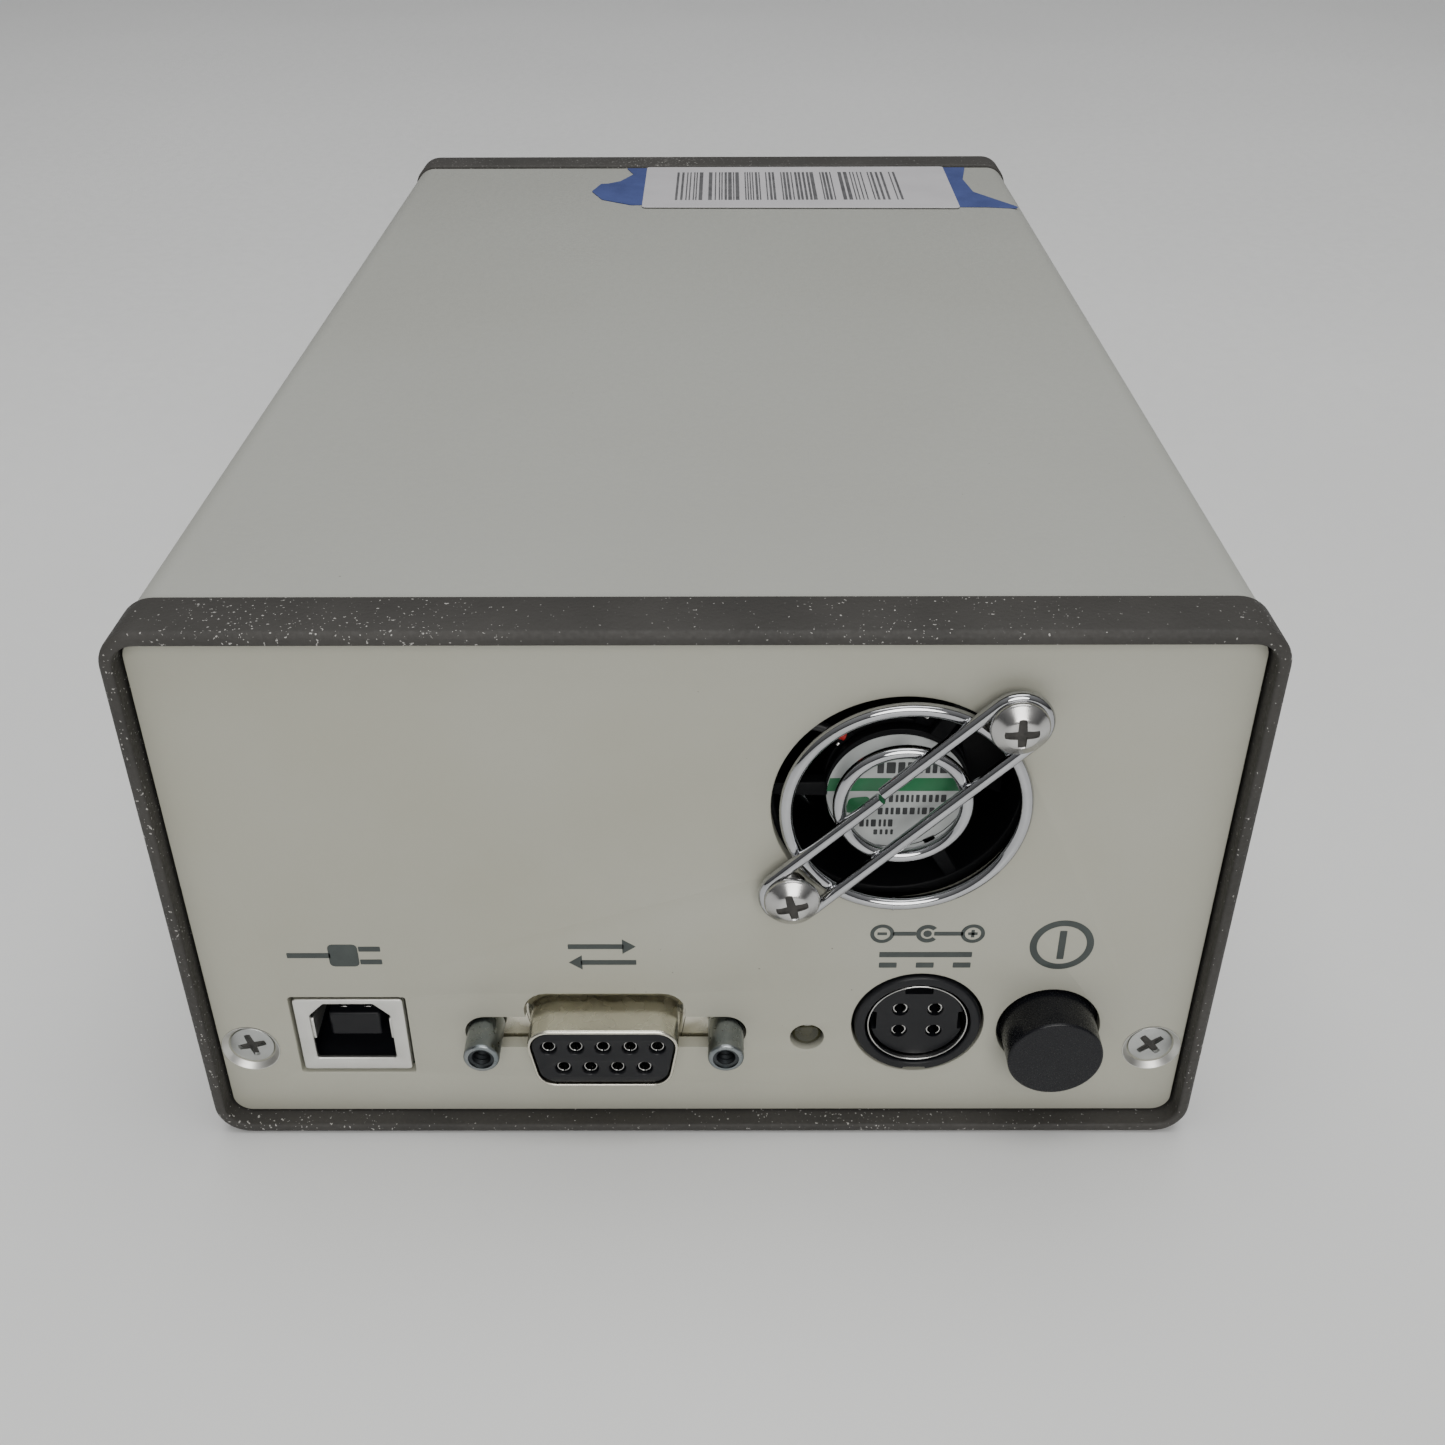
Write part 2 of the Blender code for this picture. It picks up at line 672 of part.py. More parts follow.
def make_dsub():
    face = PANEL_RECESS - DSUB_PROTRUSION
    flange_low = PANEL_BACK + GAP
    flange_high = flange_low + 0.8
    wall = DSUB_SHELL_WALL
    inner = (DSUB_SHELL[0] - 2 * wall, DSUB_SHELL[1] - 2 * wall)
    loops = [
        rounded_rectangle(DSUB_CENTRE, 30.8, 11.8, 1.0, 3),
        d_outline(DSUB_CENTRE, inner[0] + wall, inner[1] + wall, 1.1),
    ]
    loops += [circle(centre, 1.55, 8) for centre in jackscrew_centres()]
    shell = plate("dsub_shell", loops, "Y", flange_low, flange_high, "tin_metal")
    tube = [d_outline(DSUB_CENTRE, *DSUB_SHELL, 1.3), d_outline(DSUB_CENTRE, *inner, 0.9)]
    join(shell, plate_mesh(tube, "Y", face, flange_high - 0.1))

    front = d_outline(DSUB_CENTRE, inner[0] - 0.5, inner[1] - 0.5, 0.7)
    holes = [circle(centre, 0.6, 6) for centre in dsub_pin_centres()]
    insert = plate("dsub_insert", [front] + holes, "Y", face + 0.2, face + 4.5, "black_plastic")
    plug = d_outline(DSUB_CENTRE, inner[0] - 0.7, inner[1] - 0.7, 0.6)
    join(insert, plate_mesh([plug], "Y", face + 4.3, flange_high + 0.6))
    body = rounded_rectangle(DSUB_CENTRE, 21.0, 11.4, 0.8, 2)
    join(insert, plate_mesh([body], "Y", flange_high + GAP, flange_high + 8.4))

    tip = face + 0.1
    seat = flange_low - GAP
    profile = [
        (0.0, seat + 4.5), (1.15, seat + 4.5), (1.15, seat), (JACKSCREW_RADIUS, seat),
        (JACKSCREW_RADIUS, tip + 0.3), (JACKSCREW_RADIUS - 0.25, tip), (1.0, tip),
        (1.0, tip + 4.0), (0.0, tip + 4.5),
    ]
    for side, centre in zip(("left", "right"), jackscrew_centres()):
        turned(f"jackscrew_{side}", profile, centre, "zinc_metal", 16)
    return shell, insert


def make_din():
    """A round 4-way socket: plastic housing, metal ring and a recessed insert."""
    face = PANEL_RECESS - 0.3
    bore = 5.55
    depth = 12.0
    profile = [
        (bore, face + depth), (DIN_RADIUS, face + depth), (DIN_RADIUS, face + 0.3),
        (DIN_RADIUS - 0.3, face), (bore + 0.2, face), (bore, face + 0.2),
    ]
    housing = turned("din_housing", profile, DIN_CENTRE, "black_plastic", 20, closed=True)
    block = rectangle((DIN_CENTRE[0], 14.1), 13.0, 13.3)
    join(housing, plate_mesh([block], "Y", face + depth - 1.5, face + 18.0))
    ring = [
        (4.9, face + 9.0), (5.3, face + 9.0), (5.3, face + 0.5), (4.9, face + 0.5),
    ]
    turned("din_ring", ring, DIN_CENTRE, "tin_metal", 20, closed=True)
    outline = []
    key_half = 10
    for centre_angle, next_angle in ((90, 180), (180, 360), (360, 450)):
        outline += arc(DIN_CENTRE, 3.7, centre_angle - key_half, centre_angle + key_half, 2)
        outline += arc(DIN_CENTRE, 4.6, centre_angle + key_half, next_angle - key_half, 4)
    contacts = [
        circle((DIN_CENTRE[0] + across * 1.75, DIN_CENTRE[1] + up * 1.45), 0.8, 8)
        for across in (-1, 1)
        for up in (-1, 1)
    ]
    insert = plate("din_insert", [outline] + contacts, "Y", face + 0.85, face + 6.0, "black_plastic")
    return join(insert, rod_mesh(DIN_CENTRE, 4.3, face + 5.8, face + 9.6, 16))


def make_led():
    profile = [
        (0.0, 5.1), (1.9, 5.1), (1.9, 4.1), (LED_RADIUS, 4.1), (LED_RADIUS, 2.3),
        (LED_RADIUS * 0.8, 1.85), (0.0, 1.7),
    ]
    lamp = turned("status_led", profile, LED_CENTRE, "lamp_lens", 12)
    legs = []
    for side in (-1, 1):
        across = LED_CENTRE[0] + side * 1.0
        bend = [
            (4.9, LED_CENTRE[1] - 0.25), (4.9, LED_CENTRE[1] + 0.25), (7.3, LED_CENTRE[1] + 0.25),
            (7.3, BOARD_TOP + GAP), (6.8, BOARD_TOP + GAP), (6.8, LED_CENTRE[1] - 0.25),
        ]
        legs.append(plate_mesh([bend], "X", across - 0.25, across + 0.25))
    return join(lamp, merged(legs))


# Button, its spring and its switch

def make_button():
    face = PANEL_RECESS - BUTTON_PROTRUSION
    collar = PANEL_BACK + 0.45
    back = collar + 1.25
    stem_radius = 1.5
    stem_end = back + 7.4
    profile = [
        (0.0, stem_end), (stem_radius, stem_end), (stem_radius, back), (5.7, back), (5.7, collar),
        (BUTTON_RADIUS, collar), (BUTTON_RADIUS, face + 0.5), (BUTTON_RADIUS - 0.15, face + 0.15),
        (BUTTON_RADIUS - 0.5, face), (0.0, face),
    ]
    turned("power_button", profile, BUTTON_CENTRE, "button_plastic", 18)

    spring_room = 3.1
    switch_face = back + BUTTON_TRAVEL + spring_room
    side = 12.0
    body = rounded_rectangle(BUTTON_CENTRE, side, side, 0.5, 1)
    bore = circle(BUTTON_CENTRE, stem_radius + 0.4, 12)
    switch = plate(
        "switch_body", [body, bore], "Y", switch_face, switch_face + 6.0, "black_plastic"
    )
    rear = rectangle(BUTTON_CENTRE, side - 0.4, side - 0.4)
    join(switch, plate_mesh([rear], "Y", switch_face + 5.8, switch_face + 12.0))

    turns = 4
    steps = 8
    coil_radius = 2.6
    wire = 0.3
    start = back + GAP + wire
    end = switch_face - GAP - wire
    points = []
    for step in range(turns * steps + 1):
        angle = 2 * math.pi * step / steps
        points.append((
            BUTTON_CENTRE[0] + coil_radius * math.cos(angle),
            start + (end - start) * step / (turns * steps),
            BUTTON_CENTRE[1] + coil_radius * math.sin(angle),
        ))
    add_part("switch_spring", wire_mesh(points, wire, sides=4), "spring_metal")


# Fan

def make_fan():
    middle = FAN_CENTRE
    half = FAN_SCREW_PITCH / 2
    tube_end = FAN_START + 7.8
    base_back = FAN_START + 1.2
    base_radius = 6.8
    corners = [(middle[0] + a * half, middle[1] + b * half) for a in (-1, 1) for b in (-1, 1)]
    loops = [rounded_rectangle(middle, FAN_SIZE, FAN_SIZE, 2.4, 3), circle(middle, FAN_DUCT_RADIUS, 28)]
    loops += [circle(corner, 1.55, 8) for corner in corners]
    frame = plate("fan_frame", loops, "Y", FAN_START, FAN_END, "black_plastic")
    struts = []
    for angle in (60, 180, 300):
        reach = (middle[0] + base_radius - 0.6, FAN_START + 0.15, middle[1] - 0.8)
        strut = box_mesh(reach, (middle[0] + 12.2, FAN_START + 1.6, middle[1] + 0.8))
        struts.append(turned_about_fan(strut, angle))
    base = rod_mesh(middle, base_radius, FAN_START + 0.05, base_back, 20)
    tube = plate_mesh(
        [circle(middle, 2.6, 12), circle(middle, 2.05, 12)], "Y", base_back - 0.2, tube_end
    )
    join(frame, merged(struts))
    join(frame, base)
    join(frame, tube)
    lead_slot = box_mesh(
        (middle[0] - 17.5, FAN_START - 1.0, middle[1] - 1.7),
        (middle[0] - 11.0, FAN_START + 2.6, middle[1] + 1.7),
    )
    cut(frame, turned_about_fan(lead_slot, LEAD_ANGLE))

    hub_low = FAN_START + 1.9
    hub_high = FAN_END - 0.5
    bore = HUB_RADIUS - 0.7
    profile = [
        (0.0, hub_high), (HUB_RADIUS, hub_high), (HUB_RADIUS, hub_low), (bore, hub_low),
        (bore, hub_high - 1.0), (1.8, hub_high - 1.0), (1.8, hub_high - 1.3),
        (1.0, hub_high - 1.3), (1.0, hub_high - 0.4), (0.0, hub_high - 0.4),
    ]
    rotor = turned("fan_rotor", profile, middle, "black_plastic", 20)
    blades = []
    sweep = 2.2
    camber = 0.45
    thick = 0.35
    front, rear = hub_low + 0.4, hub_high - 0.2
    for index in range(FAN_BLADES):
        edge = []
        for side in (1, -1):
            for step in range(3):
                share = step / 2 if side > 0 else 1 - step / 2
                bow = camber * (1 - (2 * share - 1) ** 2)
                along = front + (rear - front) * share
                up = -sweep + 2 * sweep * share + bow
                edge.append((along - side * thick * 0.6, middle[1] + up + side * thick * 0.8))
        blade = plate_mesh([edge], "X", middle[0] + bore + 0.25, middle[0] + 11.0)
        blades.append(turned_about_fan(blade, index * 360 / FAN_BLADES))
    join(rotor, merged(blades))

    shaft = [(0.0, hub_high - 0.7), (0.7, hub_high - 0.7), (0.7, base_back + 0.4), (0.0, base_back + 0.4)]
    turned("fan_shaft", shaft, middle, "spring_metal", 10)
    bearing = [
        (0.95, tube_end - 0.4), (1.7, tube_end - 0.4), (1.7, base_back + 0.9), (0.95, base_back + 0.9),
    ]
    turned("fan_bearing", bearing, middle, "spring_metal", 12, closed=True)

    outline = []
    for pole in range(4):
        angle = pole * 90
        outline += arc(middle, 5.7, angle - 32, angle + 32, 3)
        outline += arc(middle, 5.0, angle + 32, angle + 10, 1)
        outline += arc(middle, 3.9, angle + 14, angle + 76, 1)
        outline += arc(middle, 5.0, angle + 80, angle + 58, 1)
    core = [outline, circle(middle, 2.95, 12)]
    plate("fan_stator", core, "Y", hub_low + 0.8, tube_end - 0.5, "motor_metal")


def make_guard():
    """Two wire rings welded to a long loop that passes round both screws."""
    loop_y = 0.25
    ring_y = 1.15
    upper, lower = fan_screw_centres()
    path = [(u, loop_y, v) for u, v in slot(lower, upper, 2.65, 6)]
    guard = add_part("finger_guard", wire_mesh(path, 0.6, cyclic=True, sides=6), "guard_chrome")
    rings = ((GUARD_OUTER_CENTRE, GUARD_OUTER_RADIUS, 28), (GUARD_INNER_CENTRE, GUARD_INNER_RADIUS, 18))
    for middle, radius, steps in rings:
        ring = [(u, ring_y, v) for u, v in circle(middle, radius, steps)]
        join(guard, wire_mesh(ring, GUARD_WIRE, cyclic=True, sides=6))
    for name, centre in (("upper", upper), ("lower", lower)):
        pan_screw(f"guard_screw_{name}", centre, -0.45, 2.7, 1.45, 1.2, FAN_END + 2.6)
        loops = [circle(centre, 2.9, 6), circle(centre, 1.55, 8)]
        plate(f"guard_nut_{name}", loops, "Y", FAN_END + GAP, FAN_END + 2.4, "zinc_metal")


def make_fan_leads():
    """Two leads from the motor, out through the frame's slot and down to the board."""
    lead = 0.45
    out = Vector((-math.cos(math.radians(LEAD_ANGLE)), math.sin(math.radians(LEAD_ANGLE))))
    across = Vector((-out.y, out.x))
    start_y = FAN_START + 1.75
    for name, side, material in (("red", 1, "red_wire"), ("black", -1, "black_wire")):
        shift = across * side * 0.75
        near = Vector(FAN_CENTRE) + out * 7.6 + shift
        wall = Vector(FAN_CENTRE) + out * 16.6 + shift
        route = [
            (near.x, start_y, near.y),
            ((near.x + wall.x) / 2, start_y, (near.y + wall.y) / 2),
            (wall.x, start_y, wall.y),
            (wall.x - 1.6, 7.6, wall.y - 0.6),
            (3.6 - side * 0.8, 13.0, wall.y - 8.0),
            (3.4 - side * 0.9, 22.0, 32.0),
            (3.2 - side * 1.0, 30.0, 20.0),
            (3.2 - side * 1.0, 33.5, 13.0),
            (3.2 - side * 1.0, 34.0, BOARD_TOP + 2.6 + GAP),
        ]
        add_part(f"fan_lead_{name}", wire_mesh(smooth_route(route, 2), lead, sides=6), material)


def smooth_route(knots, steps):
    """Points on a smooth curve through the given ones."""
    points = []
    count = len(knots)
    for index in range(count - 1):
        before = Vector(knots[max(index - 1, 0)])
        first = Vector(knots[index])
        last = Vector(knots[index + 1])
        after = Vector(knots[min(index + 2, count - 1)])
        for step in range(steps):
            t = step / steps
            points.append(0.5 * (
                2 * first + (last - before) * t
                + (2 * before - 5 * first + 4 * last - after) * t * t
                + (3 * first - before - 3 * last + after) * t ** 3
            ))
    points.append(Vector(knots[-1]))
    return points


# Board and ribbon

def make_board():
    low = BOARD_TOP - BOARD_THICK
    middle = (0.0, (BOARD_START + BOARD_END) / 2)
    loops = [rounded_rectangle(middle, 2 * BOARD_HALF_WIDTH, BOARD_END - BOARD_START, 1.5, 2)]
    loops += [circle(centre, 1.4, 8) for centre in BOARD_SCREWS]
    board = plate("main_board", loops, "Z", low, BOARD_TOP, "board_green")
    sink = 0.1
    chips = [
        ((-12.0, 50.0), (22.0, 22.0), 2.2),
        ((18.0, 46.0), (12.0, 8.0), 1.4),
        ((18.0, 58.0), (12.0, 8.0), 1.4),
        ((-32.0, 48.0), (9.0, 14.0), 1.8),
        ((36.0, 66.0), (12.0, 12.0), 6.0),
        ((34.0, 48.0), (8.0, 8.0), 7.0),
        ((3.2, 34.0), (5.0, 5.0), 2.6),
        ((-30.0, 86.0), (12.0, 5.0), 2.4),
        ((8.0, 78.0), (16.0, 10.0), 2.0),
    ]
    blocks = []
    for (across, along), (wide, deep), tall in chips:
        corner = (across - wide / 2, along - deep / 2, BOARD_TOP - sink)
        blocks.append(box_mesh(corner, (across + wide / 2, along + deep / 2, BOARD_TOP + tall)))
    join(board, merged(blocks))
    for number, centre in enumerate(BOARD_SCREWS, 1):
        make_board_screw(f"board_screw_{number}", centre)
    return board


def make_board_screw(name, centre):
    """A small pan head above the board with its shaft down in the post."""
    seat = BOARD_TOP + GAP
    profile = [
        (0.0, seat + 1.4), (1.7, seat + 1.1), (2.3, seat + 0.5), (2.3, seat), (0.95, seat),
        (0.95, 2.6), (0.0, 2.6),
    ]
    screw = turned(name, profile, (centre[0], 0.0), "screw_metal", 8)
    screw.location = Vector((centre[0], centre[1], 0.0)) * MM
    screw.rotation_euler = (0.0, 0.0, 0.0)
    low = (centre[0] - 2.6, centre[1] - 0.25, seat + 0.7)
    return cut(screw, box_mesh(low, (centre[0] + 2.6, centre[1] + 0.25, seat + 2.0)))


def make_ribbon():
    """A flat cable from the board's end connector, along the tray and up to the chamber."""
    left, right = -35.0, -25.0
    level = BOARD_TOP + 2.0
    knots = [
        (0.0, 88.8, level), (0.0, 96.0, level), (0.0, 120.0, level - 1.0), (0.0, 134.0, level),
        (0.0, 142.0, level + 4.0), (0.0, 145.0, 18.0), (0.0, 145.0, FEED_LOW - GAP),
    ]
    route = smooth_route(knots, 3)
    mesh = bpy.data.meshes.new("flex_cable")
    work = bmesh.new()
    lower = [work.verts.new((left * MM, spot.y * MM, spot.z * MM)) for spot in route]
    for first, last in zip(lower, lower[1:]):
        work.edges.new((first, last))
    grown = bmesh.ops.extrude_edge_only(work, edges=work.edges[:])
    fresh = [item for item in grown["geom"] if isinstance(item, bmesh.types.BMVert)]
    bmesh.ops.translate(work, verts=fresh, vec=((right - left) * MM, 0.0, 0.0))
    work.to_mesh(mesh)
    work.free()
    ribbon = add_part("flex_cable", mesh, "ribbon_film")
    solid = ribbon.modifiers.new("film", "SOLIDIFY")
    solid.thickness = 0.4 * MM
    solid.offset = 0.0
    return ribbon


# Telescope end

def ring_screw_centres():
    return arc((0.0, OPTICAL_Z), RING_SCREW_CIRCLE, 90, 330, 2)


def make_mount():
    middle = (0.0, OPTICAL_Z)
    low = FRONT_PANEL_FACE + GAP
    high = low + MOUNT_RING_THICK
    sink = SHOULDER_RADIUS + 0.6
    sink_floor = high - 0.6
    profile = [
        (MOUNT_THREAD_RADIUS, sink_floor), (sink, sink_floor), (sink, high),
        (MOUNT_RING_RADIUS - 0.6, high), (MOUNT_RING_RADIUS, high - 0.6),
        (MOUNT_RING_RADIUS, low), (MOUNT_THREAD_RADIUS, low),
    ]
    ring = turned("mount_ring", profile, middle, "black_anodised", 28, closed=True)
    shaft_holes = []
    head_sinks = []
    seat = high - 2.0
    for number, centre in enumerate(ring_screw_centres(), 1):
        shaft_holes.append(rod_mesh(centre, 1.5, low - 1, seat, 8))
        head_sinks.append(rod_mesh(centre, 2.3, seat - GAP, high + 1, 12))
        flat_screw(f"ring_screw_{number}", centre, seat, 2.0, 1.6, 1.2, FRONT_PANEL_BACK - 1.6)
    cut(ring, merged(shaft_holes))
    cut(ring, merged(head_sinks))

    shoulder = sink_floor + GAP
    flange = shoulder + SHOULDER_THICK
    end = REACH
    groove_low, groove_high = flange + 7.0, flange + 13.0
    neck = NOSEPIECE_RADIUS - 0.6
    profile = [
        (NOSEPIECE_BORE, end), (NOSEPIECE_RADIUS - 0.5, end), (NOSEPIECE_RADIUS, end - 0.5),
        (NOSEPIECE_RADIUS, groove_high), (neck, groove_high - 0.6), (neck, groove_low + 0.6),
        (NOSEPIECE_RADIUS, groove_low), (NOSEPIECE_RADIUS, flange),
        (SHOULDER_RADIUS, flange), (SHOULDER_RADIUS, shoulder),
        (MOUNT_THREAD_RADIUS - GAP, shoulder), (MOUNT_THREAD_RADIUS - GAP, low + 1.0),
        (NOSEPIECE_BORE, low + 1.0),
    ]
    turned("nosepiece", profile, middle, "black_anodised", 28, closed=True)


def make_shutter():
    middle = (0.0, OPTICAL_Z)
    plate_low = FRONT_PANEL_BACK - 7.7
    plate_high = plate_low + PANEL_THICK
    loops = [
        rounded_rectangle((0.0, OPTICAL_Z), 86.0, 54.0, 2.0, 2),
        circle(middle, 9.5, 20),
        circle(SHUTTER_AXIS, 1.9, 12),
    ]
    base = plate("shutter_plate", loops, "Y", plate_low, plate_high, "bare_aluminium")
    posts = [
        rod_mesh((across, OPTICAL_Z + up), 2.6, plate_high - 0.2, FRONT_PANEL_BACK - GAP, 8)
        for across in (-39.0, 39.0)
        for up in (-23.0, 23.0)
    ]
    join(base, merged(posts))

    blade_low = plate_high + 1.3
    blade_high = blade_low + 0.6
    outline = belt(middle, SHUTTER_BLADE_RADIUS, SHUTTER_AXIS, 3.5)
    axis = (SHUTTER_AXIS[0], 0.0, SHUTTER_AXIS[1])
    blade = plate(
        "shutter_blade", [outline], "Y", blade_low, blade_high, "black_anodised", origin=axis
    )
    join(blade, rod_mesh(SHUTTER_AXIS, 2.8, blade_low - 0.6, blade_high + 1.8, 16))
    join(blade, rod_mesh(SHUTTER_AXIS, 1.2, plate_low - 8.0, blade_low, 12))

    motor_high = plate_low - GAP
    loops = [circle(SHUTTER_AXIS, 6.0, 20), circle(SHUTTER_AXIS, 1.6, 12)]
    motor = plate("shutter_motor", loops, "Y", motor_high - 10.0, motor_high, "zinc_metal")
    join(motor, rod_mesh(SHUTTER_AXIS, 5.6, motor_high - 14.0, motor_high - 9.8, 20))


def make_chamber():
    """The sealed chamber with its window, sensor and cooling stack, front to back."""
    middle = (0.0, OPTICAL_Z)
    front = FRONT_PANEL_BACK - 7.7 - GAP
    back = front - 24.2
    profile = [
        (15.9, front), (CHAMBER_RADIUS, front), (CHAMBER_RADIUS, back), (6.4, back),
        (6.4, back + 4.0), (18.0, back + 4.0), (18.0, front - 8.0), (12.0, front - 8.0),
        (12.0, front - 5.0), (15.9, front - 5.0),
    ]
    body = turned("chamber_body", profile, middle, "bare_aluminium", 24, closed=True)
    feed = box_mesh((-36.0, 141.0, FEED_LOW), (-CHAMBER_RADIUS + 1.5, 149.0, FEED_LOW + 8.0))
    join(body, feed)

    seal_y = front - 4.1
    ring = [(u, seal_y, v) for u, v in circle(middle, 14.6, 24)]
    add_part("window_seal", wire_mesh(ring, 0.6, cyclic=True, sides=4), "seal_rubber")
    plate("chamber_window", [circle(middle, 15.5, 24)], "Y", front - 3.2, front - 1.6, "window_glass")
    retainer = [circle(middle, 15.5, 24), circle(middle, 12.6, 24)]
    plate("window_retainer", retainer, "Y", front - 1.3, front - 0.1, "black_anodised")

    finger_end = back + 11.0
    low_plate = back - GAP - 3.0
    loops = [rectangle(middle, 20.0, 20.0)]
    finger = plate("cold_finger", loops, "Y", low_plate, back - GAP, "copper_metal")
    join(finger, rod_mesh(middle, 6.0, back - GAP - 0.2, finger_end, 14))
    loops = [circle(middle, 11.4, 20), circle(middle, 6.5, 14)]
    plate("sensor_board", loops, "Y", finger_end - 2.4, finger_end - 0.8, "board_green")
    sensor_low = finger_end + GAP
    chip = plate(
        "image_sensor", [rounded_rectangle(middle, 15.0, 12.5, 0.4, 1)], "Y",
        sensor_low, sensor_low + 2.2, "chip_ceramic",
    )
    cut(chip, plate_mesh([rectangle(middle, 10.0, 7.6)], "Y", sensor_low + 1.5, sensor_low + 4.0))

    cooler_high = low_plate - GAP
    cooler_low = cooler_high - 3.6
    face = [rectangle(middle, 20.0, 20.0)]
    cooler = plate("cooler_module", face, "Y", cooler_low, cooler_low + 0.8, "cooler_ceramic")
    pellets = []
    for column in range(4):
        for row in range(4):
            spot = (middle[0] - 7.5 + column * 5.0, middle[1] - 7.5 + row * 5.0)
            pellet = rectangle(spot, 1.8, 1.8)
            pellets.append(plate_mesh([pellet], "Y", cooler_low + 0.7, cooler_high - 0.7))
    join(cooler, merged(pellets))
    join(cooler, plate_mesh(face, "Y", cooler_high - 0.8, cooler_high))

    sink_face = cooler_low - GAP
    make_heat_sink(sink_face)


def make_heat_sink(face):
    half = 20.0
    base = 4.0
    depth = 27.0
    fins = 9
    thick = 1.2
    pitch = (2 * half - thick) / (fins - 1)
    outline = [(-half, face), (-half, face - depth)]
    for index in range(fins - 1):
        left = -half + thick + index * pitch
        right = -half + (index + 1) * pitch
        outline += [(left, face - depth), (left, face - base), (right, face - base), (right, face - depth)]
    outline += [(half, face - depth), (half, face)]
    return plate("heat_sink", [outline], "Z", OPTICAL_Z - half, OPTICAL_Z + half, "bare_aluminium")


def make_desiccant_plug():
    low = FRONT_PANEL_BACK - 5.0
    seat = FRONT_PANEL_FACE + GAP
    profile = [
        (0.0, seat + 1.4), (6.6, seat + 1.4), (7.0, seat + 1.0), (7.0, seat), (5.0, seat),
        (5.0, low), (3.8, low), (3.8, seat), (0.0, seat),
    ]
    plug = turned("desiccant_plug", profile, DESICCANT_CENTRE, "black_anodised", 18)
    across, up = DESICCANT_CENTRE
    slot_low = (across - 4.5, seat + 0.7, up - 0.7)
    slot_high = (across + 4.5, seat + 3.0, up + 0.7)
    return cut(plug, box_mesh(slot_low, slot_high))


clear_scene()
parts = new_collection("cooled_astronomy_camera")
cutters = new_collection("cutters")
materials = {name: make_material(name) for name in COLOURS}
datum = bpy.data.objects.new("camera_datum", None)
parts.objects.link(datum)
datum.location = (0.0, DATUM_Y * MM, 0.0)

make_cover()
make_tray()
make_bezel("rear_bezel", 0.0, 1)
make_bezel("front_bezel", BODY_LENGTH, -1)
make_rear_panel()
make_front_panel()
for side_name, side_sign in (("left", -1), ("right", 1)):
    spot = (side_sign * END_SCREW_X, END_SCREW_Z)
    sunk_screw(f"rear_screw_{side_name}", spot, PANEL_RECESS, 15.5)
    sunk_screw(f"front_screw_{side_name}", spot, FRONT_PANEL_FACE, BODY_LENGTH - 15.5, facing=-1)
make_usb()
make_dsub()
make_din()
make_led()
make_button()
make_fan()
make_guard()
make_fan_leads()
make_board()
make_ribbon()
make_mount()
make_shutter()
make_chamber()
make_desiccant_plug()
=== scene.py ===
import json
import math
import random

import bmesh
import bpy
from mathutils import Matrix, Vector
from mathutils.geometry import tessellate_polygon


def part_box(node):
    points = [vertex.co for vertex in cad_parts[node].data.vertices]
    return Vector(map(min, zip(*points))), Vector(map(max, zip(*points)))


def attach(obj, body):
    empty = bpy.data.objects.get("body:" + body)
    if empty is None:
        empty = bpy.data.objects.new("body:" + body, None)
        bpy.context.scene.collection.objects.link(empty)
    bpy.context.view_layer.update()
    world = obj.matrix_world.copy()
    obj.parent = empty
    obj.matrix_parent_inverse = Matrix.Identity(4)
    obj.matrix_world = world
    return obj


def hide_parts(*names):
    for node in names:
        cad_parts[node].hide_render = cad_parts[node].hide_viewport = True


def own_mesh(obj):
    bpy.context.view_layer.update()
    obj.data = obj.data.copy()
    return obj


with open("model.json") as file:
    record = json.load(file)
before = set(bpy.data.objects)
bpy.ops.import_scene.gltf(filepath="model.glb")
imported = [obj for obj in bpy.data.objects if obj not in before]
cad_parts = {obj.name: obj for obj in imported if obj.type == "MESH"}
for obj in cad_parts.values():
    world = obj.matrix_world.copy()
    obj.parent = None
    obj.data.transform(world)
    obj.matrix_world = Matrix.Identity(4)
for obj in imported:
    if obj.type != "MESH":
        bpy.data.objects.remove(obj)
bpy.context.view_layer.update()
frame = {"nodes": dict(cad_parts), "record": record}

# Lengths below are in mm: x across, z up, and y along the box from the rear bezel's face.
mm = 0.001
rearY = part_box("rear_bezel")[0].y
toFrame = Matrix.Translation((0, rearY, 0)) @ Matrix.Scale(mm, 4)
finishes = {}
print("frame loaded:", len(frame["nodes"]), "nodes")


def span(node):  # low and high corner of a node, in those mm
    low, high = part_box(node)
    shift = Vector((0, rearY, 0))
    return (low - shift) / mm, (high - shift) / mm


def centreOf(node):
    low, high = span(node)
    return (low + high) / 2


# outlines, as lists of (u, v)
def circle(u, v, radius, steps=64):
    turns = [2 * math.pi * step / steps for step in range(steps)]
    return [(u + radius * math.cos(t), v + radius * math.sin(t)) for t in turns]


def arc(u, v, radius, start, end, steps=12):
    turns = [math.radians(start + (end - start) * step / steps) for step in range(steps + 1)]
    return [(u + radius * math.cos(t), v + radius * math.sin(t)) for t in turns]


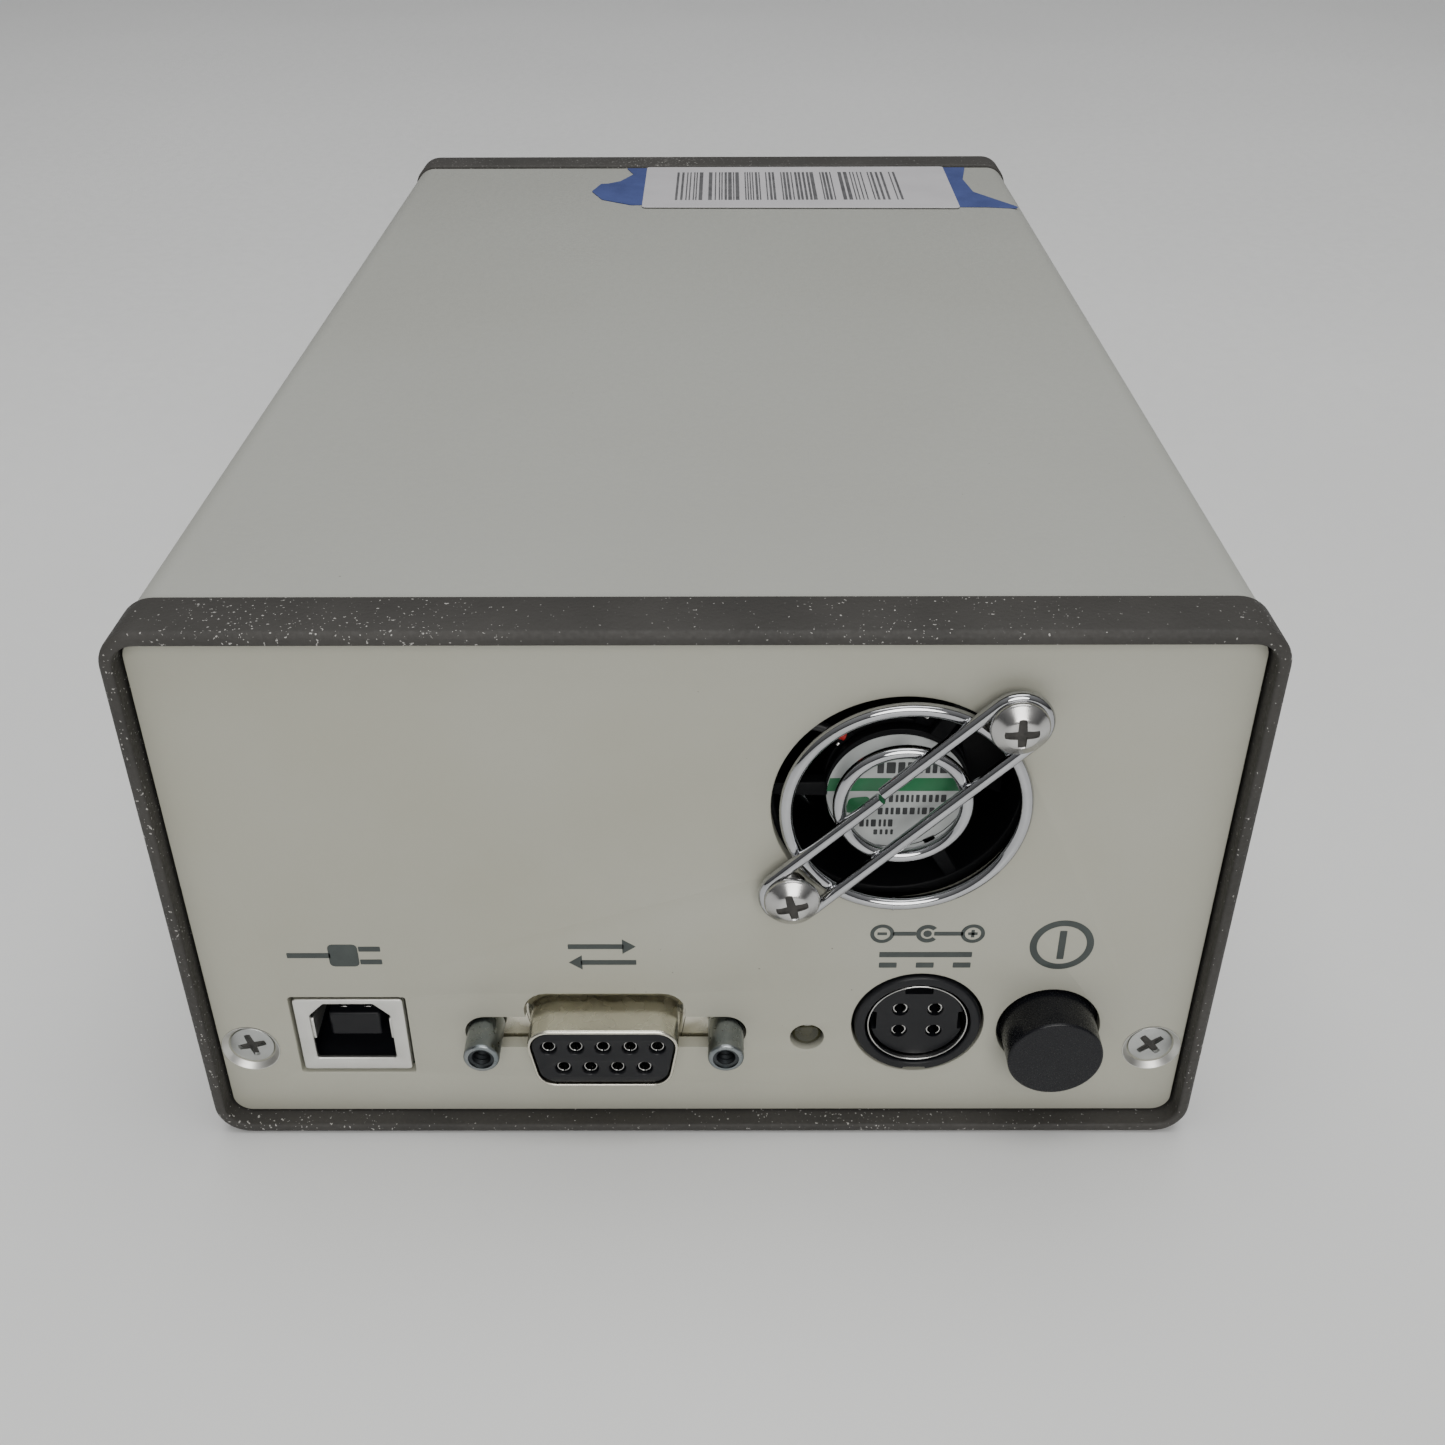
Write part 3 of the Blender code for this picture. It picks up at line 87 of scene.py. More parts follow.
def filleted(points, looped=True, steps=6):  # a point is (u, v), or (u, v, radius) where its corner is round
    out = []
    last = len(points) - 1
    for index, point in enumerate(points):
        here = Vector(point[:2])
        if len(point) < 3 or (not looped and index in (0, last)):
            out.append(tuple(here))
            continue
        before = Vector(points[index - 1][:2]) - here
        after = Vector(points[(index + 1) % len(points)][:2]) - here
        half = before.angle(after) / 2
        reach = min(point[2] / math.tan(half), before.length * 0.98, after.length * 0.98)
        radius = reach * math.tan(half)
        centre = here + (before.normalized() + after.normalized()).normalized() * radius / math.sin(half)
        first = here + before.normalized() * reach - centre
        final = here + after.normalized() * reach - centre
        turn = first.angle(final)
        if turn < 0.02:  # as good as straight
            out.append(tuple(here))
            continue
        for step in range(steps + 1):
            share = step / steps
            mix = first * math.sin((1 - share) * turn) + final * math.sin(share * turn)
            out.append(tuple(centre + mix / math.sin(turn)))
    return out


def sharpBox(u, v, width, height):
    half, tall = width / 2, height / 2
    return [(u - half, v - tall), (u + half, v - tall), (u + half, v + tall), (u - half, v + tall)]


def roundedBox(u, v, width, height, radius, steps=8):
    return filleted([(*corner, radius) for corner in sharpBox(u, v, width, height)], steps=steps)


def stadium(first, last, radius, steps=16):
    heading = math.degrees(math.atan2(last[1] - first[1], last[0] - first[0]))
    far = arc(*last, radius, heading - 90, heading + 90, steps)
    return far + arc(*first, radius, heading + 90, heading + 270, steps)


def dShape(u, v, width, height, radius, steps=6):  # wide at the top, sides leaning in by 10 degrees
    lean = height * math.tan(math.radians(10))
    low, high, half = v - height / 2, v + height / 2, width / 2
    corners = [(u - half + lean, low), (u + half - lean, low), (u + half, high), (u - half, high)]
    return filleted([(*corner, radius) for corner in corners], steps=steps)


def isLeftHanded(loop):
    return sum(a[0] * b[1] - b[0] * a[1] for a, b in zip(loop, loop[1:] + loop[:1])) < 0


def shrunk(loop, inset):  # moved into the material, which lies to the left of the way round
    out = []
    for index, point in enumerate(loop):
        here = Vector(point)
        ahead = (Vector(loop[(index + 1) % len(loop)]) - here).normalized()
        behind = (here - Vector(loop[index - 1])).normalized()
        sides = Vector((-ahead.y, ahead.x)) + Vector((-behind.y, behind.x))
        out.append(tuple(here + sides * inset / max(1 + ahead.dot(behind), 0.2)))
    return out


def smoothed(points, steps=4):  # a curve through the given 3-D points
    out = []
    for index in range(len(points) - 1):
        knots = [Vector(points[max(index - 1, 0)]), Vector(points[index]), Vector(points[index + 1]),
                 Vector(points[min(index + 2, len(points) - 1)])]
        for step in range(1, steps + 1):
            t = step / steps
            a = 2 * knots[1]
            b = knots[2] - knots[0]
            c = 2 * knots[0] - 5 * knots[1] + 4 * knots[2] - knots[3]
            d = 3 * knots[1] - knots[0] - 3 * knots[2] + knots[3]
            out.append(tuple((a + b * t + c * t * t + d * t * t * t) / 2))
    return out


# meshes
def meshFrom(bm):
    bmesh.ops.recalc_face_normals(bm, faces=bm.faces)
    if bm.calc_volume(signed=True) < 0:  # inside out
        bmesh.ops.reverse_faces(bm, faces=bm.faces)
    mesh = bpy.data.meshes.new("made")
    bm.to_mesh(mesh)
    bm.free()
    return mesh


def bridge(bm, first, second):
    count = max(len(first), len(second))
    for index in range(count):
        after = (index + 1) % count
        ring = [first[index % len(first)], first[after % len(first)]]
        ring += [second[after % len(second)], second[index % len(second)]]
        corners = [corner for place, corner in enumerate(ring) if corner not in ring[:place]]
        if len(corners) > 2:
            bm.faces.new(corners)


def capped(bm, ring):
    flat = [Vector(vert.co) for vert in ring]
    for corners in tessellate_polygon([flat]):
        bm.faces.new([ring[corner] for corner in corners])


def loft(rings, looped=False):  # a ring of one point closes to a tip
    bm = bmesh.new()
    verts = [[bm.verts.new(point) for point in ring] for ring in rings]
    for first, second in zip(verts, verts[1:]):
        bridge(bm, first, second)
    if looped:
        bridge(bm, verts[-1], verts[0])
    else:
        for ring in (verts[0], verts[-1]):
            if len(ring) > 2:
                capped(bm, ring)
    return meshFrom(bm)


def turned(profile, u, v, steps=72, looped=False, ripple=None):  # profile of (radius, y)
    rings = []
    for radius, along in profile:
        if radius < 0.001:
            rings.append([(u, along, v)])
            continue
        ring = []
        for step in range(steps):
            turn = 2 * math.pi * step / steps
            reach = radius + (ripple(along, turn) if ripple else 0)
            ring.append((u + reach * math.cos(turn), along, v + reach * math.sin(turn)))
        rings.append(ring)
    return loft(rings, looped)


axisOrder = {
    "x": lambda u, v, along: (along, u, v),
    "y": lambda u, v, along: (u, along, v),
    "z": lambda u, v, along: (u, v, along),
}


def slab(loops, low, high, edge=0.15, axis="y", steps=3):  # first loop is the outside, the rest are holes
    place = axisOrder[axis]
    quarter = [math.pi / 2 * step / steps for step in range(steps + 1)] if edge else [math.pi / 2]
    levels = [(edge * (1 - math.sin(t)), edge * (1 - math.cos(t)) if edge else 0) for t in quarter]
    levels = [(i, low + a) for i, a in levels] + [(i, high - a) for i, a in reversed(levels)]
    bm = bmesh.new()
    ends = ([], [])
    for number, loop in enumerate(loops):
        if isLeftHanded(loop) != (number > 0):
            loop = loop[::-1]
        rings = []
        for inset, along in levels:
            rings.append([bm.verts.new(place(u, v, along)) for u, v in shrunk(loop, inset)])
        for first, second in zip(rings, rings[1:]):
            bridge(bm, first, second)
        flat = [Vector((u, v, 0)) for u, v in shrunk(loop, levels[0][0])]
        ends[0].append((rings[0], flat))
        ends[1].append((rings[-1], flat))
    for end in ends:
        verts = [vert for ring, _ in end for vert in ring]
        for corners in tessellate_polygon([flat for _, flat in end]):
            bm.faces.new([verts[corner] for corner in corners])
    return meshFrom(bm)


def evaluated(holder):
    bpy.context.scene.collection.objects.link(holder)
    depsgraph = bpy.context.evaluated_depsgraph_get()
    depsgraph.update()
    mesh = bpy.data.meshes.new_from_object(holder.evaluated_get(depsgraph))
    bpy.data.objects.remove(holder)
    return mesh


def wire(points, radius, looped=False, sides=16):
    curve = bpy.data.curves.new("wire", "CURVE")
    curve.dimensions = "3D"
    curve.bevel_depth = radius
    curve.bevel_resolution = sides // 4
    curve.use_fill_caps = True
    spline = curve.splines.new("POLY")
    spline.points.add(len(points) - 1)
    for spot, point in zip(spline.points, points):
        spot.co = (*point, 1)
    spline.use_cyclic_u = looped
    bm = bmesh.new()
    bm.from_mesh(evaluated(bpy.data.objects.new("wire", curve)))
    bmesh.ops.remove_doubles(bm, verts=bm.verts, dist=0.001)
    return meshFrom(bm)


def carved(mesh, *tools):
    holder = bpy.data.objects.new("carved", mesh)
    helpers = [bpy.data.objects.new("tool", tool) for tool in tools]
    for helper in helpers:
        bpy.context.scene.collection.objects.link(helper)
        cut = holder.modifiers.new("cut", "BOOLEAN")
        cut.object = helper
        cut.operation = "DIFFERENCE"
        cut.solver = "EXACT"
    result = evaluated(holder)
    for helper in helpers:
        bpy.data.objects.remove(helper)
    return result


def together(*meshes):
    bm = bmesh.new()
    for mesh in meshes:
        bm.from_mesh(mesh)
    mesh = bpy.data.meshes.new("made")
    bm.to_mesh(mesh)
    bm.free()
    return mesh


def spun(mesh, u, v, degrees):  # about the y line through (u, v)
    spot = Vector((u, 0, v))
    turn = Matrix.Rotation(math.radians(-degrees), 4, "Y")
    mesh.transform(Matrix.Translation(spot) @ turn @ Matrix.Translation(-spot))
    return mesh


def bead(spot, radius, stretch=(1, 1, 1)):
    bm = bmesh.new()
    bmesh.ops.create_icosphere(bm, subdivisions=3, radius=radius)
    bmesh.ops.scale(bm, vec=stretch, verts=bm.verts)
    bmesh.ops.translate(bm, vec=spot, verts=bm.verts)
    return meshFrom(bm)


def addPiece(name, mesh, finish, nodes=(), body="root", crease=32):
    mesh.transform(toFrame)
    mesh.name = name
    mesh.materials.clear()
    mesh.materials.append(finishes[finish])
    mesh.shade_smooth()
    mesh.set_sharp_from_angle(angle=math.radians(crease))
    piece = bpy.data.objects.new(name, mesh)
    bpy.context.scene.collection.objects.link(piece)
    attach(piece, body)
    if nodes:
        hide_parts(*nodes)
    return piece


# finishes: patterns lie in the object's own coordinates, with sizes in mm
def pattern(tree, size, detail=3.0, stretch=(1, 1, 1)):
    coordinates = tree.nodes.new("ShaderNodeTexCoord")
    mapping = tree.nodes.new("ShaderNodeMapping")
    mapping.inputs["Scale"].default_value = [1 / (size * mm * share) for share in stretch]
    tree.links.new(coordinates.outputs["Object"], mapping.inputs["Vector"])
    texture = tree.nodes.new("ShaderNodeTexNoise")
    texture.inputs["Detail"].default_value = detail
    texture.inputs["Scale"].default_value = 1.0
    tree.links.new(mapping.outputs["Vector"], texture.inputs["Vector"])
    return texture.outputs["Fac"]


def ranged(tree, socket, fromLow, fromHigh, toLow, toHigh):
    node = tree.nodes.new("ShaderNodeMapRange")
    for name, value in (("From Min", fromLow), ("From Max", fromHigh), ("To Min", toLow), ("To Max", toHigh)):
        node.inputs[name].default_value = value
    tree.links.new(socket, node.inputs["Value"])
    return node.outputs["Result"]


def blended(tree, share, first, second):  # colours, each a tuple or another node's output
    node = tree.nodes.new("ShaderNodeMix")
    node.data_type = "RGBA"
    tree.links.new(share, node.inputs["Factor"])
    for colour, socket in ((first, node.inputs[6]), (second, node.inputs[7])):
        if isinstance(colour, tuple):
            socket.default_value = (*colour, 1)
        else:
            tree.links.new(colour, socket)
    return node.outputs[2]


def raised(tree, height, depth, before=None):  # depth in mm
    node = tree.nodes.new("ShaderNodeBump")
    node.inputs["Distance"].default_value = depth * mm
    tree.links.new(height, node.inputs["Height"])
    if before:
        tree.links.new(before, node.inputs["Normal"])
    return node.outputs["Normal"]


def makeFinish(name, look):
    material = bpy.data.materials.new(name)
    material.use_nodes = True
    tree = material.node_tree
    shader = tree.nodes["Principled BSDF"]
    shader.inputs["Metallic"].default_value = look.get("metal", 0.0)
    shader.inputs["Coat Weight"].default_value = look.get("coat", 0.0)
    shader.inputs["Specular IOR Level"].default_value = look.get("gloss", 0.5)
    shader.inputs["Transmission Weight"].default_value = look.get("clear", 0.0)
    stretch = look.get("stretch", (1, 1, 1))
    cloud = pattern(tree, look.get("cloud", 14), 4)
    grain = pattern(tree, look.get("grain", 0.6), look.get("detail", 3), stretch)
    colour = blended(tree, ranged(tree, cloud, 0.35, 0.65, 0, 1), look["colour"], look["tint"])
    if "speck" in look:  # fine bits of another colour, thicker in some places than others
        bits = pattern(tree, look["speckSize"], 1)
        patches = ranged(tree, pattern(tree, look.get("speckPatch", 30), 2), 0.3, 0.7, 0.1, 0)
        mixed = tree.nodes.new("ShaderNodeMath")
        mixed.operation = "SUBTRACT"
        tree.links.new(bits, mixed.inputs[0])
        tree.links.new(patches, mixed.inputs[1])
        share = ranged(tree, mixed.outputs[0], look["speckFrom"], look["speckFrom"] + 0.04, 0, 1)
        colour = blended(tree, share, colour, look["speck"])
    tree.links.new(colour, shader.inputs["Base Color"])
    low, high = look["rough"]
    tree.links.new(ranged(tree, grain, 0.3, 0.7, low, high), shader.inputs["Roughness"])
    normal = raised(tree, grain, look.get("depth", 0.01))
    if "swell" in look:
        normal = raised(tree, pattern(tree, look["swell"], 2), look["swellDepth"], normal)
    tree.links.new(normal, shader.inputs["Normal"])
    return material


looks = {  # the record's own slots, then finishes of single pieces, some with the slot that they stand for
    "cover_paint": dict(colour=(0.385, 0.392, 0.362), tint=(0.372, 0.376, 0.345), rough=(0.42, 0.58), cloud=45,
        grain=0.75, depth=0.022, swell=2.6, swellDepth=0.02, speck=(0.16, 0.15, 0.13), speckSize=0.55,
        speckFrom=0.78),
    "panel_paint": dict(colour=(0.425, 0.422, 0.360), tint=(0.410, 0.404, 0.335), rough=(0.40, 0.55), cloud=22,
        grain=0.55, depth=0.012, swell=3.0, swellDepth=0.012, speck=(0.20, 0.19, 0.16), speckSize=0.4,
        speckFrom=0.79),
    "bezel_paint": dict(colour=(0.040, 0.038, 0.035), tint=(0.054, 0.051, 0.047), rough=(0.5, 0.72), gloss=0.35,
        cloud=12, grain=0.42, depth=0.06, swell=1.4, swellDepth=0.02, speck=(0.42, 0.41, 0.39), speckSize=0.3,
        speckPatch=22, speckFrom=0.655),
    "tray_metal": dict(colour=(0.50, 0.51, 0.52), tint=(0.58, 0.59, 0.60), metal=1.0, rough=(0.3, 0.48),
        grain=0.35, stretch=(1, 40, 1), depth=0.004),
    "screw_metal": dict(colour=(0.58, 0.575, 0.565), tint=(0.50, 0.495, 0.485), metal=1.0, rough=(0.20, 0.26),
        cloud=2.5, grain=1.2, depth=0.001, detail=1),
    "zinc_metal": dict(colour=(0.20, 0.225, 0.235), tint=(0.29, 0.31, 0.315), metal=1.0, rough=(0.26, 0.38),
        cloud=2.2, grain=0.6, depth=0.003, detail=1),
    "tin_metal": dict(colour=(0.74, 0.715, 0.61), tint=(0.66, 0.635, 0.54), metal=1.0, rough=(0.22, 0.30),
        cloud=4, grain=1.6, depth=0.0015, detail=1),
    "black_plastic": dict(colour=(0.018, 0.018, 0.020), tint=(0.026, 0.026, 0.028), rough=(0.38, 0.55), cloud=6,
        grain=0.2, depth=0.006),
    "button_plastic": dict(colour=(0.0058, 0.0062, 0.0085), tint=(0.0072, 0.0077, 0.010), rough=(0.24, 0.30),
        gloss=0.28, cloud=5, grain=0.22, depth=0.003),
    "lamp_lens": dict(colour=(0.030, 0.029, 0.009), tint=(0.018, 0.018, 0.006), rough=(0.12, 0.22), cloud=1.2,
        grain=0.5, depth=0.002, coat=0.2),
    "spring_metal": dict(colour=(0.52, 0.52, 0.52), tint=(0.60, 0.60, 0.60), metal=1.0, rough=(0.2, 0.34),
        grain=0.2, depth=0.003),
    "guard_chrome": dict(colour=(0.50, 0.505, 0.52), tint=(0.44, 0.445, 0.46), metal=1.0, rough=(0.03, 0.07),
        cloud=3, grain=1.0, depth=0.0006, detail=1),
    "motor_metal": dict(colour=(0.42, 0.20, 0.08), tint=(0.22, 0.20, 0.19), metal=0.9, rough=(0.3, 0.5),
        cloud=2.5, grain=0.25, stretch=(1, 0.3, 1), depth=0.02),
    "board_green": dict(colour=(0.012, 0.10, 0.04), tint=(0.018, 0.135, 0.055), rough=(0.25, 0.4), cloud=9,
        grain=0.7, depth=0.012, coat=0.3),
    "red_wire": dict(colour=(0.50, 0.018, 0.016), tint=(0.40, 0.012, 0.012), rough=(0.3, 0.42), cloud=3,
        grain=0.3, depth=0.004),
    "black_wire": dict(colour=(0.016, 0.016, 0.017), tint=(0.024, 0.024, 0.025), rough=(0.3, 0.42), cloud=3,
        grain=0.3, depth=0.004),
    "ribbon_film": dict(colour=(0.48, 0.22, 0.04), tint=(0.36, 0.15, 0.03), rough=(0.22, 0.34), cloud=5,
        grain=0.5, stretch=(0.4, 30, 30), depth=0.008, coat=0.4),
    "black_anodised": dict(colour=(0.016, 0.016, 0.018), tint=(0.024, 0.024, 0.027), metal=0.55,
        rough=(0.26, 0.38), cloud=10, grain=0.12, stretch=(20, 1, 20), depth=0.003),
    "bare_aluminium": dict(colour=(0.56, 0.57, 0.58), tint=(0.62, 0.63, 0.64), metal=1.0, rough=(0.26, 0.4),
        cloud=8, grain=0.2, stretch=(20, 1, 20), depth=0.005),
    "window_glass": dict(colour=(0.90, 0.95, 0.94), tint=(0.86, 0.93, 0.92), rough=(0.01, 0.03), grain=4,
        depth=0.0005, clear=1.0),
    "seal_rubber": dict(colour=(0.015, 0.015, 0.015), tint=(0.022, 0.022, 0.022), rough=(0.6, 0.75), cloud=2,
        grain=0.3, depth=0.01),
    "chip_ceramic": dict(colour=(0.25, 0.24, 0.26), tint=(0.20, 0.19, 0.22), rough=(0.3, 0.45), cloud=4,
        grain=0.3, depth=0.006),
    "cooler_ceramic": dict(colour=(0.76, 0.76, 0.73), tint=(0.70, 0.70, 0.67), rough=(0.4, 0.55), cloud=4,
        grain=0.4, depth=0.008),
    "copper_metal": dict(colour=(0.66, 0.30, 0.17), tint=(0.55, 0.22, 0.12), metal=1.0, rough=(0.24, 0.4),
        cloud=5, grain=0.2, stretch=(20, 1, 20), depth=0.005),
    "markInk": dict(colour=(0.040, 0.050, 0.048), tint=(0.050, 0.061, 0.058), rough=(0.45, 0.6), cloud=2,
        grain=0.25, depth=0.006),
    "screwSatin": dict(slot="screw_metal", colour=(0.52, 0.53, 0.52), tint=(0.44, 0.45, 0.44), metal=1.0,
        rough=(0.38, 0.46), cloud=2.5, grain=1.2, depth=0.001, detail=1),
    "contactTin": dict(slot="tin_metal", colour=(0.66, 0.655, 0.64), tint=(0.50, 0.495, 0.48), metal=1.0,
        rough=(0.12, 0.2), cloud=1, grain=0.6, depth=0.001, detail=1),
    "portTin": dict(slot="tin_metal", colour=(0.80, 0.795, 0.76), tint=(0.74, 0.735, 0.70), metal=1.0,
        rough=(0.36, 0.42), cloud=4, grain=1.5, depth=0.001, detail=1),
    "portBlack": dict(slot="black_plastic", colour=(0.006, 0.0064, 0.0085), tint=(0.009, 0.0094, 0.0115),
        rough=(0.30, 0.42), gloss=0.3, cloud=5, grain=0.25, depth=0.003),
    "fanBlack": dict(slot="black_plastic", colour=(0.0028, 0.003, 0.0038), tint=(0.0042, 0.0044, 0.0052),
        rough=(0.45, 0.6), gloss=0.15, cloud=5, grain=0.3, depth=0.004),
    # painted shade: a near-black finish for the lining in the screws' cross recesses
    "recessShade": dict(slot="screw_metal", colour=(0.022, 0.021, 0.019), tint=(0.045, 0.042, 0.038),
        rough=(0.5, 0.7), cloud=0.6, grain=0.2, depth=0.01),
    "boreShade": dict(slot="zinc_metal", colour=(0.030, 0.034, 0.038), tint=(0.06, 0.066, 0.07), metal=0.9,
        rough=(0.3, 0.4), cloud=1, grain=0.4, depth=0.002),
    "labelFilm": dict(colour=(0.46, 0.48, 0.475), tint=(0.53, 0.55, 0.545), metal=0.25, rough=(0.3, 0.38),
        cloud=5, grain=1.5, depth=0.001, detail=1),
    "labelGreen": dict(colour=(0.008, 0.135, 0.045), tint=(0.012, 0.165, 0.06), rough=(0.3, 0.4), cloud=3,
        grain=0.4, depth=0.003),
    "labelInk": dict(colour=(0.022, 0.024, 0.026), tint=(0.034, 0.036, 0.038), rough=(0.4, 0.5), cloud=1,
        grain=0.2, depth=0.003),
    "tagPaper": dict(colour=(0.49, 0.48, 0.50), tint=(0.53, 0.52, 0.54), rough=(0.5, 0.62), cloud=9, grain=0.3,
        depth=0.006, swell=6, swellDepth=0.05),
    "tagInk": dict(colour=(0.07, 0.07, 0.075), tint=(0.12, 0.12, 0.125), rough=(0.5, 0.6), cloud=3, grain=0.35,
        depth=0.003),
    "maskingTape": dict(colour=(0.032, 0.052, 0.185), tint=(0.045, 0.070, 0.23), rough=(0.55, 0.7), cloud=4,
        grain=0.5, stretch=(1, 6, 1), depth=0.04),
}
for name, look in looks.items():
    finishes[name] = makeFinish(name, look)
for row in frame["record"]["subparts"]:
    mesh = frame["nodes"][row["node"]].data
    mesh.materials.clear()
    mesh.materials.append(finishes[row["material_slot"]])
print("finishes made:", len(finishes))


coverShape = {"thick": 1.5, "corner": 3.2, "edge": 0.25}


def makeCover():
    low, high = span("top_cover")
    thick, corner = coverShape["thick"], coverShape["corner"]
    outline = [
        (low.x, low.z), (low.x, high.z, corner), (high.x, high.z, corner), (high.x, low.z),
        (high.x - thick, low.z), (high.x - thick, high.z - thick, corner - thick),
        (low.x + thick, high.z - thick, corner - thick), (low.x + thick, low.z),
    ]
    mesh = slab([filleted(outline, steps=12)], low.y, high.y, coverShape["edge"])
    addPiece("cover_shell", mesh, "cover_paint", ["top_cover"], crease=20)


bezelShape = {"radius": 3.6, "lip": 1.3, "ledge": 2.6, "ledgeAt": 3.8, "outerEdge": 0.75, "innerEdge": 0.3}


def makeBezels():
    shape = bezelShape
    ledge, ledgeAt, lip = shape["ledge"], shape["ledgeAt"], shape["lip"]
    for node, inward in (("rear_bezel", 1), ("front_bezel", -1)):
        low, high = span(node)
        face = low.y if inward > 0 else high.y
        depth = high.y - low.y
        section = filleted([
            (0, depth, 0.35), (0, 0, shape["outerEdge"]), (lip, 0, shape["innerEdge"]), (lip, ledgeAt),
            (ledge, ledgeAt, 0.2), (ledge, depth, 0.2),
        ], steps=5)
        rings = []
        for inset, along in section:
            width, height = high.x - low.x - 2 * inset, high.z - low.z - 2 * inset
            radius = max(shape["radius"] - inset, 0.8)
            loop = roundedBox(0, (low.z + high.z) / 2, width, height, radius, 10)
            rings.append([(u, face + inward * along, v) for u, v in loop])
        addPiece(f"{node}_casting", loft(rings, looped=True), "bezel_paint", [node])


panelShape = {"radius": 1.9, "edge": 0.12, "screwHole": 1.6, "screwSink": 3.0, "squareCutout": (12.1, 10.8),
              "dCutout": (17.6, 10.8), "slotRadius": 2.15, "fanHole": 12.1, "fanHoleShift": (0.1, -0.55),
              "fixingHole": 1.45}


def panelOutline(node):
    low, high = span(node)
    middle = (low + high) / 2
    return roundedBox(middle.x, middle.z, high.x - low.x, high.z - low.z, panelShape["radius"])


def screwSeats(side, face, way):  # countersinks; way points out of the box
    sink, hole = panelShape["screwSink"], panelShape["screwHole"]
    profile = [(0, face + way), (sink + 0.3, face + way), (sink + 0.1, face + way * 0.02),
               (sink, face - way * 0.06), (hole, face - way * (sink - hole + 0.06)), (hole, face - way * 3),
               (0, face - way * 3)]
    spots = [centreOf(f"{side}_screw_{hand}") for hand in ("left", "right")]
    return [turned(profile, spot.x, spot.z, 64) for spot in spots]


def makeRearPanel():
    shape = panelShape
    low, high = span("rear_panel")
    port, lamp = centreOf("usb_shell"), centreOf("status_led")
    lamp.z = span("status_led")[1].z - lampShape["down"]
    right, up = shape["fanHoleShift"]
    holes = (
        (fanCentre() + Vector((right, 0, up)), shape["fanHole"], 96),
        (centreOf("guard_screw_upper"), shape["fixingHole"], 24),
        (centreOf("guard_screw_lower"), shape["fixingHole"], 24),
        (lamp, lampShape["radius"] + 0.2, 48),
        (socketCentre(), socketShape["radius"] + 0.3, 72),
        (centreOf("power_button"), buttonShape["radius"] + 0.45, 72),
    )
    loops = [panelOutline("rear_panel"), roundedBox(port.x, port.z, *shape["squareCutout"], 0.4)]
    loops += [circle(spot.x, spot.z, radius, steps) for spot, radius, steps in holes]
    plate = slab(loops, low.y, high.y, shape["edge"])
    middle = dCentre()
    deep = (low.y - 1, high.y + 1)
    opening = slab([dShape(middle.x, middle.z, *shape["dCutout"], 2.4)], *deep, 0)
    ends = [(spot.x, spot.z) for spot in (centreOf("jackscrew_left"), centreOf("jackscrew_right"))]
    slot = slab([stadium(*ends, shape["slotRadius"])], *deep, 0)
    plate = carved(plate, opening, slot, *screwSeats("rear", low.y, -1))
    addPiece("connector_panel", plate, "panel_paint", ["rear_panel"], crease=25)


crossShape = {"reach": 0.55, "width": 0.15, "depth": 0.66, "flare": 1.12, "shadeAt": 0.3}


def crossRing(u, v, along, reach, width, turn):
    ring = []
    for quarter in range(4):
        heading = math.radians(turn + 90 * quarter)
        for away, side in ((width, -1), (reach, -0.82), (reach * 1.05, 0), (reach, 0.82)):
            across = side * width
            ring.append((u + away * math.cos(heading) - across * math.sin(heading), along,
                         v + away * math.sin(heading) + across * math.cos(heading)))
    return ring


# a screw with a cross recess, and a dark piece in the recess that paints the recess's shade
def addScrew(name, node, profile, crown, way, size, depth, turn, finish, steps):
    spot = centreOf(node)
    reach, width = size * crossShape["reach"], size * crossShape["width"]
    flare, deep = crossShape["flare"], crown - way * depth

    def ring(along, reachShare, widthShare):
        return crossRing(spot.x, spot.z, along, reach * reachShare, width * widthShare, turn)

    recess = loft([ring(crown + way * 0.3, flare, flare), ring(crown - way * 0.2, 1, 1), ring(deep, 0.6, 0.8),
                   [(spot.x, deep - way * 0.2, spot.z)]])
    # painted shade: a near-black lining set a little inside the cross recess, darker than the metal around it
    shadeFill = loft([ring(crown - way * crossShape["shadeAt"], 1, 1.05), ring(deep, 0.65, 0.85),
                 [(spot.x, deep - way * 0.25, spot.z)]])
    body = carved(turned(profile, spot.x, spot.z, steps), recess)
    addPiece(name, body, finish, [node])
    addPiece(f"{name}_recess", shadeFill, "recessShade")


def shank(end, seat, shaft, tip, spare):  # a thread's profile, from the screw's end to just short of its seat
    way = 1 if seat > end else -1
    profile = [(0, end), (shaft - tip, end)]
    along = end + way * 0.3
    while abs(seat - along) > spare:
        profile += [(shaft, along), (shaft - 0.18, along + way * 0.25)]
        along += way * 0.5
    return profile + [(shaft, along)]


endScrewShape = {"radius": 2.45, "shaft": 1.25, "rim": 0.1, "crossDepth": 1.1, "crossSize": 2.55, "sink": 2.97,
                 "cupDeep": 0.54,
                 "turns": {"rear_left": 14, "rear_right": 40, "front_left": 63, "front_right": 25}}


